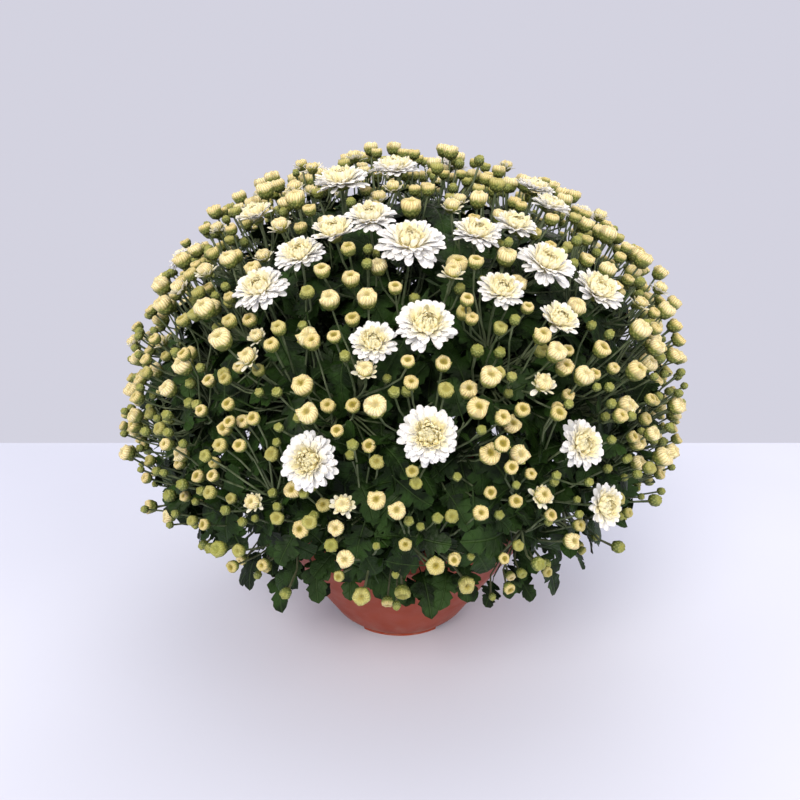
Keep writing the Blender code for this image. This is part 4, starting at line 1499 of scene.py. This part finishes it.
@dataclass(frozen=True)
class FloretFinish:
    """Cream florets folded over a golden middle, olive where the bud is still shut, with painted shade in the
    creases between the florets.
    """

    cream: Colour = (0.70, 0.57, 0.25)
    pale: Colour = (0.86, 0.75, 0.44)
    middle: Colour = (0.36, 0.29, 0.035)
    centre: Colour = (0.12, 0.10, 0.012)
    olive: Colour = (0.30, 0.32, 0.065)
    # Painted shade for the creases between the folded florets
    crease_shade: Colour = (0.25, 0.19, 0.040)
    folds_round: float = 62.8

    def build(self) -> Material:
        """Builds its nodes.

        Returns:
            The material.
        """
        nodes = ShaderNodes("closed_florets")
        along, across, shade = (nodes.attribute(name) for name in ("along", "across", "shade"))
        folds = nodes.wave(across, self.folds_round)
        cream = nodes.mix(nodes.span(shade, 0.35, 0.95), self.cream, self.pale)
        patchy = nodes.mix(nodes.span(nodes.noise(420.0, 2.0), 0.35, 0.65, 0.0, 0.6), cream, self.cream)
        ripe = nodes.mix(nodes.span(shade, 0.42, 0.12), patchy, self.olive)
        low = nodes.mix(nodes.span(along, 0.34, 0.05), ripe, self.olive)
        eye = nodes.span(along, 0.60, 0.85) * nodes.span(shade, 1.0, 0.55, 0.25, 1.0)
        golden = nodes.mix(nodes.span(along, 0.80, 1.0, 0.0, 0.75), self.middle, self.centre)
        eyed = nodes.mix(eye * nodes.span(shade, 0.15, 0.30), low, golden)
        # Painted shade: the creases between the folded florets are painted a darker yellow-brown.
        nodes.set("Base Color", nodes.mix(nodes.span(folds, 0.0, 1.0, 0.0, 0.42), eyed, self.crease_shade))
        nodes.shine(500.0, 2.0, 0.5, 0.65)
        nodes.glow(0.25, (0.0020, 0.0015, 0.0008))
        nodes.bump(folds, 0.0004)
        return nodes.material


@dataclass(frozen=True)
class PetalFinish:
    """Soft white petals that turn cream and yellow towards the middle."""

    white: Colour = (0.96, 0.95, 0.945)
    cream: Colour = (0.95, 0.86, 0.49)
    root: Colour = (0.90, 0.79, 0.38)
    veins: float = 14.0

    def build(self) -> Material:
        """Builds its nodes.

        Returns:
            The material.
        """
        nodes = ShaderNodes("petal_skin")
        body = nodes.mix(nodes.attribute("cream"), self.white, self.cream)
        rooted = nodes.mix(nodes.span(nodes.attribute("along"), 0.38, 0.0), body, self.root)
        faint = nodes.span(nodes.noise(300.0, 2.0), 0.45, 0.75, 0.0, 0.25)
        nodes.set("Base Color", nodes.mix(faint, rooted, self.cream))
        nodes.shine(500.0, 2.0, 0.48, 0.62, 0.35)
        nodes.glow(0.55, (0.0040, 0.0037, 0.0032))
        nodes.bump(nodes.wave(nodes.attribute("across"), self.veins), 0.00012)
        return nodes.material


@dataclass(frozen=True)
class PotFinish:
    """Satin terracotta-coloured plastic with faint moulding marks."""

    colour: Colour = (0.258, 0.040, 0.016)
    worn: Colour = (0.300, 0.053, 0.024)
    dusty: Colour = (0.30, 0.14, 0.10)
    dust_height: float = 0.035

    def build(self) -> Material:
        """Builds its nodes.

        Returns:
            The material.
        """
        nodes = ShaderNodes("terracotta_plastic_skin")
        clouds = nodes.span(nodes.noise(18.0, 5.0, (1.0, 1.0, 2.5), 0.6), 0.35, 0.7)
        low = nodes.span(nodes.height(), self.dust_height, 0.0)
        dust = low * nodes.span(nodes.noise(90.0, 4.0), 0.4, 0.75)
        nodes.set("Base Color", nodes.mix(dust * 0.6, nodes.mix(clouds, self.colour, self.worn), self.dusty))
        nodes.shine(60.0, 4.0, 0.42, 0.56, 0.22, (0.3, 0.7))
        nodes.bump(nodes.noise(1400.0, 2.0), 0.00012, 0.5)
        return nodes.material


@dataclass(frozen=True)
class SoilFinish:
    """Dark crumbly potting soil."""

    dark: Colour = (0.010, 0.0065, 0.0045)
    brown: Colour = (0.045, 0.028, 0.017)

    def build(self) -> Material:
        """Builds its nodes.

        Returns:
            The material.
        """
        nodes = ShaderNodes("potting_soil_grain")
        grain = nodes.noise(650.0, 6.0, roughness=0.7)
        nodes.set("Base Color", nodes.mix(nodes.span(grain, 0.35, 0.7), self.dark, self.brown))
        nodes.shine(300.0, 3.0, 0.85, 1.0)
        nodes.bump(grain, 0.0012, 0.9)
        return nodes.material


@dataclass(frozen=True)
class GroundFinish:
    """The plain pale ground."""

    colour: Colour = (0.615, 0.640, 0.745)
    shading: float = 0.975

    def build(self) -> Material:
        """Builds its nodes.

        Returns:
            The material.
        """
        nodes = ShaderNodes("pale_ground")
        darker = tuple(self.shading * part for part in self.colour)
        nodes.set("Base Color", nodes.mix(nodes.span(nodes.noise(2.0, 2.0), 0.3, 0.7), self.colour, darker))
        nodes.set("Roughness", 0.75)
        nodes.set("Specular IOR Level", 0.2)
        return nodes.material


# Meshes and their joining into pieces

def ring(radius: float, height: float, count: int) -> list[Place]:
    """Points of a level circle about the Z axis."""
    return [(radius * math.cos(a), radius * math.sin(a), height)
            for a in np.linspace(0.0, FULL_TURN, count, endpoint=False)]


def skinned(name: str, rows: list[list[Place]], pole: Place | None = None) -> Mesh:
    """A closed skin through rows of points.

    Args:
        name: The mesh's name.
        rows: Rows of equally many points, each once round.
        pole: The point in which the last row closes, or None for a flat face.

    Returns:
        The mesh, with its faces outwards.
    """
    shell = bmesh.new()
    rings = [[shell.verts.new(point) for point in row] for row in rows]
    count = len(rows[0])
    for low, high in zip(rings, rings[1:]):
        for k in range(count):
            onward = (k + 1) % count
            shell.faces.new((low[k], low[onward], high[onward], high[k]))
    shell.faces.new(rings[0])
    if pole is None:
        shell.faces.new(rings[-1])
    else:
        tip = shell.verts.new(pole)
        for k in range(count):
            shell.faces.new((rings[-1][k], rings[-1][(k + 1) % count], tip))
    bmesh.ops.recalc_face_normals(shell, faces=shell.faces)
    mesh = bpy.data.meshes.new(name)
    shell.to_mesh(mesh)
    shell.free()
    return mesh


# Place, turn, size along its own axes, index of its form and a shade from 0 to 1
Plant = tuple[Vector, Quaternion, Vector, int, float]


def cloud_mesh(plants: list[Plant]) -> Mesh:
    """Loose points that carry what the planting tree reads.

    Args:
        plants: What each point carries.

    Returns:
        The mesh.
    """
    places, turns, sizes, forms, shades = zip(*plants)
    mesh = bpy.data.meshes.new("points")
    mesh.from_pydata([tuple(place) for place in places], [], [])
    layers = (("turn", "QUATERNION", [n for turn in turns for n in turn]),
              ("size", "FLOAT_VECTOR", [n for size in sizes for n in size]),
              ("form", "INT", forms), ("shade", "FLOAT", shades), ("patch", "INT", range(len(places))))
    for name, kind, values in layers:
        layer = mesh.attributes.new(name, kind, "POINT")
        layer.data.foreach_set("vector" if kind == "FLOAT_VECTOR" else "value", list(values))
    return mesh


def read_all(items: bpy.types.bpy_prop_collection, name: str, kind: type = np.int32,
             wide: int = 1) -> np.ndarray:
    """One property of all items, in one array."""
    values = np.zeros(wide * len(items), kind)
    items.foreach_get(name, values)
    return values


def read_layer(mesh: Mesh, name: str, kind: type = np.float32) -> np.ndarray:
    """An attribute's number for each point of a mesh, or 0 where the mesh hasn't got it."""
    layer = mesh.attributes.get(name)
    return np.zeros(len(mesh.vertices), kind) if layer is None else read_all(layer.data, "value", kind)


def lay_out_map(mesh: Mesh) -> None:
    """Gives each planted shape and each tube its own cell of the piece's map.

    Args:
        mesh: The piece's mesh.
    """
    corners = read_all(mesh.loops, "vertex_index")
    patch = read_layer(mesh, "patch", np.int32)[corners]
    layer = mesh.uv_layers.get(MAP_NAME) or mesh.uv_layers.new(name=MAP_NAME)
    places = read_all(layer.data, "uv", np.float32, 2).reshape(-1, 2)
    tubes = read_layer(mesh, "girth")[corners] > 0.0
    if tubes.any():
        around = read_layer(mesh, "across")[corners]
        starts = read_all(mesh.polygons, "loop_start")
        face = np.repeat(np.arange(len(starts)), read_all(mesh.polygons, "loop_total"))
        widest = np.maximum.reduceat(around, starts)[face]
        # The last strip of a tube runs on past 1 instead of back to 0
        around = np.where((widest > 0.6) & (around < 0.4), around + 1.0, around) / 1.25
        places[tubes] = np.stack((around, read_layer(mesh, "along")[corners]), axis=1)[tubes]
    side = math.ceil(math.sqrt(patch.max() + 1))
    cell = np.stack((patch % side, patch // side), axis=1)
    places = (cell + 0.04 + 0.92 * np.clip(places, 0.0, 1.0)) / side
    layer.data.foreach_set("uv", places.astype(np.float32).ravel())


def joined(name: str, meshes: list[Mesh], spare: tuple[str, ...]) -> Piece:
    """Joins meshes into one object.

    Args:
        name: The object's name.
        meshes: Its meshes.
        spare: Attributes that it needs no more.

    Returns:
        The object.
    """
    parts = [placed(f"{name}_part_{k}", mesh) for k, mesh in enumerate(meshes)]
    with bpy.context.temp_override(active_object=parts[0], object=parts[0], selected_objects=parts,
                                   selected_editable_objects=parts):
        bpy.ops.object.join()
    piece = parts[0]
    piece.name = name
    if MAP_NAME not in spare:
        lay_out_map(piece.data)
    for title in spare:
        if title in piece.data.attributes:
            piece.data.attributes.remove(piece.data.attributes[title])
    return piece


def assemble(name: str, meshes: list[Mesh]) -> Piece:
    """Joins planted meshes and tubes into one piece with one map.

    Args:
        name: The piece's name.
        meshes: Its meshes, each with its patches counted from 0.

    Returns:
        The piece.
    """
    offset = 0
    for mesh in meshes:
        patches = read_layer(mesh, "patch", np.int32) + offset
        layer = mesh.attributes.get("patch") or mesh.attributes.new("patch", "INT", "POINT")
        layer.data.foreach_set("value", patches)
        offset = int(patches.max()) + 1
    return joined(name, meshes, ("turn", "size", "form", "patch", "girth"))


class Workshop:
    """The trees, shapes and finishes that the pieces share."""

    def __init__(self) -> None:
        """Builds everything that is shared."""
        self.planting, self.tubes, self.flower = PlantingTree(), TubeTree(), FlowerTree()
        self.library = Library()
        kinds = {"leaf": LeafFinish, "stem": StemFinish, "cup": CupFinish, "floret": FloretFinish,
                 "petal": PetalFinish, "pot": PotFinish, "soil": SoilFinish}
        self.finishes = {name: kind().build() for name, kind in kinds.items()}

    def plant(self, plants: list[Plant], shapes: str, finish: str) -> Mesh:
        """Plants a group of shapes on points."""
        return self.planting.grow(cloud_mesh(plants), {"Shapes": self.library.groups[shapes],
                                                       "Finish": self.finishes[finish]})

    def flower_mesh(self, head: Head, petals: int, seed: int, filled: float = 1.0) -> Mesh:
        """The petals of one flower, in its place.

        Args:
            head: The flower head.
            petals: Number of petals and florets.
            seed: Seed of its small differences.
            filled: Share of the way in that the petals reach.

        Returns:
            The mesh.
        """
        mesh = self.flower.grow(bpy.data.meshes.new("blank"), {
            "Petals": petals, "Width": head.width, "Openness": head.openness, "Filled": filled,
            "Seed": seed, "Shapes": self.library.groups["petals"], "Finish": self.finishes["petal"]})
        mesh.transform(Matrix.Translation(head.place) @ head.turn(seed * 1.3).to_matrix().to_4x4())
        return mesh


# The pieces

@dataclass
class LeafyStem:
    """One leafy stem: its tubes, leaves and green cups in one piece, and its closed heads in another."""

    shop: Workshop
    index: int
    limbs: list[Limb]
    leaves: list[Spot]
    bracts: list[Spot]
    heads: list[Head]
    tube_sides: int = 5
    leaf_widths: Pair = (1.02, 1.26)
    head_height: float = 1.14
    ripe_play: Pair = (-0.22, 0.20)
    greener_from: float = math.radians(84.0)
    greener_over: float = 0.35
    greener: float = 0.08
    half_open_petals: int = 44
    half_open_filled: float = 0.60
    half_open_core: float = 0.57

    def tube_mesh(self) -> Mesh:
        """The tubes of the stem, its branches and its stalks.

        Returns:
            The mesh.
        """
        points, edges, girths, patches = [], [], [], []
        for number, limb in enumerate(self.limbs):
            first = len(points)
            points += [tuple(point) for point in limb.path]
            edges += [(k, k + 1) for k in range(first, len(points) - 1)]
            girths += limb.radii
            patches += [number] * len(limb.path)
        mesh = bpy.data.meshes.new("lines")
        mesh.from_pydata(points, edges, [])
        mesh.attributes.new("girth", "FLOAT", "POINT").data.foreach_set("value", girths)
        mesh.attributes.new("patch", "INT", "POINT").data.foreach_set("value", patches)
        return self.shop.tubes.grow(mesh, {"Sides": self.tube_sides, "Finish": self.shop.finishes["stem"]})

    def leaf_mesh(self, spots: list[Spot], shapes: str) -> Mesh:
        """Leaves on their spots.

        Args:
            spots: Where they grow.
            shapes: The group of their shapes.

        Returns:
            The mesh.
        """
        draw = random.Random(Seed.LEAF_SIZES + self.index)
        count = len(self.shop.library.groups[shapes].objects)
        sizes = [Vector((spot.length * draw.uniform(*self.leaf_widths), spot.length, spot.length))
                 for spot in spots]
        forms = [draw.randrange(count) for _ in spots]
        plants = [(spot.root, spot.turn(), size, form, draw.random())
                  for spot, size, form in zip(spots, sizes, forms)]
        return self.shop.plant(plants, shapes, "leaf")

    def head_plants(self, heads: list[Head], forms: list[int]) -> list[Plant]:
        """Points for the cups or florets of heads, with a shade that says how ripe each is.

        Args:
            heads: The heads.
            forms: Which shape each has.

        Returns:
            The points.
        """
        draw = random.Random(Seed.RIPENESS + self.index)
        plants = []
        for head, form in zip(heads, forms):
            turn = head.turn(draw.uniform(0.0, FULL_TURN))
            size = Vector((1.0, 1.0, self.head_height)) * (head.width / 2.0)
            low = clamped((head.polar - self.greener_from) / self.greener_over)
            shade = STAGE_LOOKS[head.stage].ripeness + draw.uniform(*self.ripe_play) - self.greener * low
            plants.append((head.foot(), turn, size, form, shade))
        return plants

    def build_green(self) -> Piece:
        """The tubes, leaves, small leaves and cups.

        Returns:
            The piece, in the place of the leafy stem's solid.
        """
        draw = random.Random(Seed.CUPS + self.index)
        forms = [draw.choice(STAGE_LOOKS[head.stage].cups) for head in self.heads]
        meshes = [self.tube_mesh(), self.leaf_mesh(self.leaves, "leaves"),
                  self.shop.plant(self.head_plants(self.heads, forms), "cups", "cup")]
        if self.bracts:
            meshes.append(self.leaf_mesh(self.bracts, "bracts"))
        piece = assemble(f"leafy_stem_{self.index + 1:02d}_stems_and_leaves", meshes)
        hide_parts(f"leafy_stem_{self.index + 1:02d}")
        return piece

    def build_heads(self) -> Piece:
        """The florets of the closed heads, and the half-open flowers.

        Returns:
            The piece.
        """
        draw = random.Random(Seed.FLORETS + self.index)
        closed = [head for head in self.heads if head.stage is not Stage.BLOOM]
        forms = [draw.choice(STAGE_LOOKS[head.stage].florets) for head in closed]
        cores = [replace(head, width=head.width * self.half_open_core)
                 if head.stage is Stage.HALF_OPEN else head for head in closed]
        meshes = [self.shop.plant(self.head_plants(cores, forms), "florets", "floret")]
        for k, head in enumerate(closed):
            if head.stage is Stage.HALF_OPEN:
                meshes.append(self.shop.flower_mesh(head, self.half_open_petals, 60 * self.index + k,
                                                    self.half_open_filled))
        piece = assemble(f"leafy_stem_{self.index + 1:02d}_heads", meshes)
        return piece


@dataclass
class Bloom:
    """One open flower."""

    shop: Workshop
    index: int
    head: Head
    petals: int = 150
    fewest: float = 0.66
    core: Place = (0.16, 0.16, 0.06)
    core_depth: float = 0.0008
    fullness: float = 1.07

    def build(self) -> Piece:
        """The flower.

        Returns:
            The piece, in the place of its solid.
        """
        head, look = self.head, STAGE_LOOKS[Stage.BLOOM]
        full = replace(head, width=head.width * self.fullness)
        count = int(self.petals * (self.fewest + (1.0 - self.fewest) * head.openness))
        core = [(head.place - head.facing * self.core_depth, head.turn(), Vector(self.core) * full.width,
                 look.florets[0], look.ripeness)]
        meshes = [self.shop.flower_mesh(full, count, 17 * self.index + 3),
                  self.shop.plant(core, "florets", "floret")]
        piece = assemble(f"bloom_{self.index + 1:02d}_flower", meshes)
        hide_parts(f"bloom_{self.index + 1:02d}")
        return piece


@dataclass
class Pot:
    """The shallow slanted pot, turned from its half section."""

    shop: Workshop
    base_radius: float = 0.060
    foot_inset: float = 0.0015
    foot_height: float = 0.004
    # From the foot up the rounded step to the wall: distance outside the base, and above the foot
    foot_step: tuple[Pair, ...] = ((0.0012, 0.0003), (0.0019, 0.0009))
    cone_radius: float = 0.1335
    cone_height: float = 0.108
    # Where the slanted wall starts and ends, and how far it swells
    cone_heights: Pair = (0.010, 0.104)
    cone_swell: float = 0.0005
    rim_radius: float = 0.1375
    # From the wall up the rim band: distance inside its radius, and height
    rim_step: tuple[Pair, ...] = ((0.0016, 0.1092), (0.0007, 0.1098), (0.0004, 0.1110), (0.0001, 0.1200))
    # Round the rim's edge, outside and inside: distance from its radius, and below its top
    rim_edge: tuple[Pair, ...] = ((0.0, 0.0026), (0.0003, 0.0011), (0.0012, 0.0002), (0.0018, 0.0))
    inner_edge: tuple[Pair, ...] = ((0.0008, 0.0), (0.0002, 0.0004), (0.0, 0.0012))
    height: float = 0.130
    wall: float = 0.0028
    rim_wall: float = 0.0036
    floor: float = 0.005
    sides: int = 144
    drain_ring: float = 0.034
    drain_radius: float = 0.0045
    drain_depth: float = 0.03
    drain_sides: int = 28
    notches: int = 4
    notch_width: float = 0.017
    notch_depth: float = 0.009
    notch_height: float = 0.0034
    notch_squareness: float = 0.6
    notch_below: float = 0.001
    sharp: float = math.radians(38.0)

    def profile(self) -> list[Pair]:
        """The half section, from the base up the outside and down the inside.

        Returns:
            Radius and height of each point.
        """
        foot, inside = self.base_radius - self.foot_inset, self.rim_radius - self.rim_wall
        slope = (self.cone_radius - self.base_radius) / self.cone_height
        outer = [(foot, 0.0), (foot, self.foot_height)]
        outer += [(self.base_radius + out, self.foot_height + up) for out, up in self.foot_step]
        outer += [(self.base_radius + slope * z + self.cone_swell, z)
                  for z in np.linspace(*self.cone_heights, 9)]
        outer += [(self.cone_radius, self.cone_height - 0.0004)]
        outer += [(self.rim_radius - inset, height) for inset, height in self.rim_step]
        outer += [(self.rim_radius - inset, self.height - down) for inset, down in self.rim_edge]
        inner = [(inside + out, self.height - down) for out, down in self.inner_edge]
        return outer + inner + [(self.inner_radius(z), z) for z in (self.cone_height, 0.05, self.floor)]

    def inner_radius(self, height: float) -> float:
        """Radius of the inside at this height."""
        widening = (self.cone_radius - self.base_radius) * height / self.cone_height
        return self.base_radius + widening - self.wall

    def cutters(self) -> list[Piece]:
        """Prisms that cut the drain holes and the arched notches of the foot.

        Returns:
            The prisms.
        """
        half, high = self.notch_width / 2.0, self.notch_height
        arch = [(half * math.cos(a), high * math.sin(a) ** self.notch_squareness)
                for a in np.linspace(0.0, math.pi, 15)]
        arch[0], arch[-1] = (half, -self.notch_below), (-half, -self.notch_below)
        hole = [ring(self.drain_radius, side * self.drain_depth, self.drain_sides) for side in (-0.5, 0.5)]
        notch = [[(u, side * self.notch_depth, v) for u, v in arch] for side in (-0.5, 0.5)]
        made = []
        for k in range(self.notches):
            at = FULL_TURN * k / self.notches
            between = at + FULL_TURN / 2.0 / self.notches
            foot = self.base_radius - self.foot_inset
            for rows, place, turn in ((hole, outward(at) * self.drain_ring, 0.0),
                                      (notch, outward(between) * foot, between)):
                mesh = skinned("cutter", rows)
                mesh.transform(Matrix.Translation(place) @ Matrix.Rotation(turn, 4, "Z"))
                made.append(placed("cutter", mesh))
        return made

    def build(self) -> Piece:
        """The pot.

        Returns:
            The piece, in the place of its solid.
        """
        rows = [ring(radius, height, self.sides) for radius, height in self.profile()]
        piece = placed("pot_shell", skinned("pot_shell", rows))
        cutters = self.cutters()
        for k, cutter in enumerate(cutters):
            cut = piece.modifiers.new(f"cut_{k}", "BOOLEAN")
            cut.operation = "DIFFERENCE"
            cut.object = cutter
        graph = bpy.context.evaluated_depsgraph_get()
        piece.data = bpy.data.meshes.new_from_object(piece.evaluated_get(graph), depsgraph=graph)
        piece.modifiers.clear()
        for cutter in cutters:
            bpy.data.objects.remove(cutter)
        piece.data.shade_smooth()
        piece.data.set_sharp_from_angle(angle=self.sharp)
        piece.data.materials.clear()
        piece.data.materials.append(self.shop.finishes["pot"])
        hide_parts("pot")
        return piece


@dataclass
class Soil:
    """The soil in the pot, with a crumbly top."""

    shop: Workshop
    pot: Pot
    play: float = 0.0006
    floor_gap: float = 0.0003
    sunk: float = 0.0022
    roughness: float = 0.0011
    rings: int = 22
    sides: int = 72
    crumbs: int = 520
    crumb_spread: float = 0.122
    crumb_sizes: Pair = (0.0010, 0.0028)

    def height(self, x: float, y: float) -> float:
        """Height of the uneven top at this place."""
        rough = math.sin(61.0 * x + 1.3) * math.sin(53.0 * y) + 0.6 * math.sin(133.0 * x - 97.0 * y)
        return SOIL_TOP - self.sunk + self.roughness * rough

    def bed_mesh(self) -> Mesh:
        """The body of the soil.

        Returns:
            The mesh.
        """
        outer = self.pot.inner_radius(self.pot.cone_height) - self.play
        bottom = self.pot.floor + self.floor_gap
        rows = [ring(self.pot.inner_radius(bottom) - self.play, bottom, self.sides),
                ring(outer, self.pot.cone_height, self.sides)]
        for k in range(self.rings):
            rows.append([(x, y, self.height(x, y))
                         for x, y, _ in ring(outer * (1.0 - k / self.rings), 0.0, self.sides)])
        mesh = skinned("bed", rows, (0.0, 0.0, self.height(0.0, 0.0)))
        mesh.shade_smooth()
        mesh.materials.append(self.shop.finishes["soil"])
        return mesh

    def build(self) -> Piece:
        """The soil.

        Returns:
            The piece, in the place of its solid.
        """
        plants = []
        draw = random.Random(Seed.CRUMBS)
        for k in range(self.crumbs):
            radius = self.crumb_spread * math.sqrt((k + 0.5) / self.crumbs)
            x, y = radius * math.cos(k * GOLDEN_ANGLE), radius * math.sin(k * GOLDEN_ANGLE)
            axis = Vector((draw.random(), draw.random(), 1.0)).normalized()
            turn = Quaternion(axis, draw.uniform(0, 6))
            size = draw.uniform(*self.crumb_sizes)
            scale = Vector((size, size * draw.uniform(0.6, 1.3), size * 0.8))
            place = Vector((x, y, self.height(x, y)))
            plants.append((place, turn, scale, draw.randrange(4), draw.random()))
        piece = joined("soil_bed", [self.bed_mesh(), self.shop.plant(plants, "crumbs", "soil")],
                       ("turn", "size", "form", "patch", "shade", MAP_NAME))
        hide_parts("soil")
        return piece


@dataclass(frozen=True)
class Lamp:
    """A round soft lamp."""

    name: str
    place: Place
    size: float
    power: float
    colour: Colour = (1.0, 0.94, 0.84)

    def build(self, aim: Place) -> None:
        """Hangs the lamp and turns it to its aim."""
        lamp = bpy.data.lights.new(self.name, "AREA")
        lamp.shape = "DISK"
        lamp.size, lamp.energy, lamp.color = self.size, self.power, self.colour
        made = placed(self.name, lamp)
        made.location = self.place
        made.rotation_euler = (Vector(aim) - Vector(self.place)).to_track_quat("-Z", "Y").to_euler()


@dataclass(frozen=True)
class Studio:
    """The pale ground, a plain pale sky behind it, soft light and the camera."""

    camera_place: Place = (0.0, -0.600, 0.374)
    pitch: float = math.radians(14.4)
    lens: float = 28.8
    sensor: float = 36.0
    ground_width: float = 3.0
    ground_near: float = -3.0
    ground_depth: float = 0.535
    sky: Colour = (0.655, 0.650, 0.745)
    lamps: tuple[Lamp, ...] = (
        Lamp("key", (-0.90, -2.40, 2.00), 1.6, 88.0),
        Lamp("fill", (1.90, -1.70, 1.50), 1.8, 32.0),
        Lamp("top", (0.10, 0.10, 2.70), 2.0, 10.0),
        Lamp("back", (0.70, 2.30, 1.80), 2.0, 24.0),
    )
    aim: Place = (0.0, 0.0, 0.22)

    def build_ground(self) -> None:
        """Lays the ground, which ends behind the object."""
        mesh = bpy.data.meshes.new("ground")
        wide, near, far = self.ground_width, self.ground_near, self.ground_depth
        mesh.from_pydata([(-wide, near, 0.0), (wide, near, 0.0), (wide, far, 0.0), (-wide, far, 0.0)], [],
                         [(0, 1, 2, 3)])
        mesh.materials.append(GroundFinish().build())
        placed("ground", mesh)

    def build(self) -> None:
        """Sets everything up round the object."""
        self.build_ground()
        for lamp in self.lamps:
            lamp.build(self.aim)
        scene = bpy.context.scene
        scene.world = bpy.data.worlds.new("soft_sky")
        scene.world.use_nodes = True
        background = scene.world.node_tree.nodes["Background"]
        background.inputs["Color"].default_value = (*self.sky, 1.0)
        camera = bpy.data.cameras.new("camera")
        camera.lens, camera.sensor_width = self.lens, self.sensor
        scene.camera = placed("camera", camera)
        scene.camera.location = self.camera_place
        scene.camera.rotation_euler = (math.pi / 2.0 - self.pitch, 0.0, 0.0)
        scene.view_settings.view_transform = "Standard"


def report(piece: Piece) -> None:
    """Rides a piece on the part's one body and logs its size.

    Args:
        piece: The piece.
    """
    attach(piece, BODY)
    piece.data.calc_loop_triangles()
    LOG.info("%s: %d triangles", piece.name, len(piece.data.loop_triangles))


def planned() -> tuple[LimbPlan, LeafPlan]:
    """Plans the bush.

    Returns:
        The limbs with their heads, and the leaves.
    """
    heads, limbs = HeadPlan(), LimbPlan()
    leading = heads.leading_heads()
    limbs.grow(leading, heads.side_heads(leading))
    leaves = LeafPlan(limbs.limbs)
    leaves.grow()
    LOG.info("%d heads, %d limbs, %d leaves, %d small leaves", len(limbs.heads), len(limbs.limbs),
             len(leaves.leaves), len(limbs.bracts))
    return limbs, leaves


def main() -> None:
    """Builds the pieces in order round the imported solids."""
    logging.basicConfig(level=logging.INFO, format="%(name)s %(message)s", stream=sys.stdout)
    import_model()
    Studio().build()
    limbs, leaves = planned()
    shop = Workshop()
    pot = Pot(shop)
    report(pot.build())
    report(Soil(shop, pot).build())
    for k in range(limbs.stem_count):
        own = [[item for item in items if item.stem == k]
               for items in (limbs.limbs, leaves.leaves, limbs.bracts, limbs.heads)]
        leafy_stem = LeafyStem(shop, k, *own)
        report(leafy_stem.build_green())
        report(leafy_stem.build_heads())
    blooms = [head for head in limbs.heads if head.stage is Stage.BLOOM]
    for k, head in enumerate(blooms):
        report(Bloom(shop, k, head).build())
    shop.library.clear()


if __name__ == "__main__":
    main()
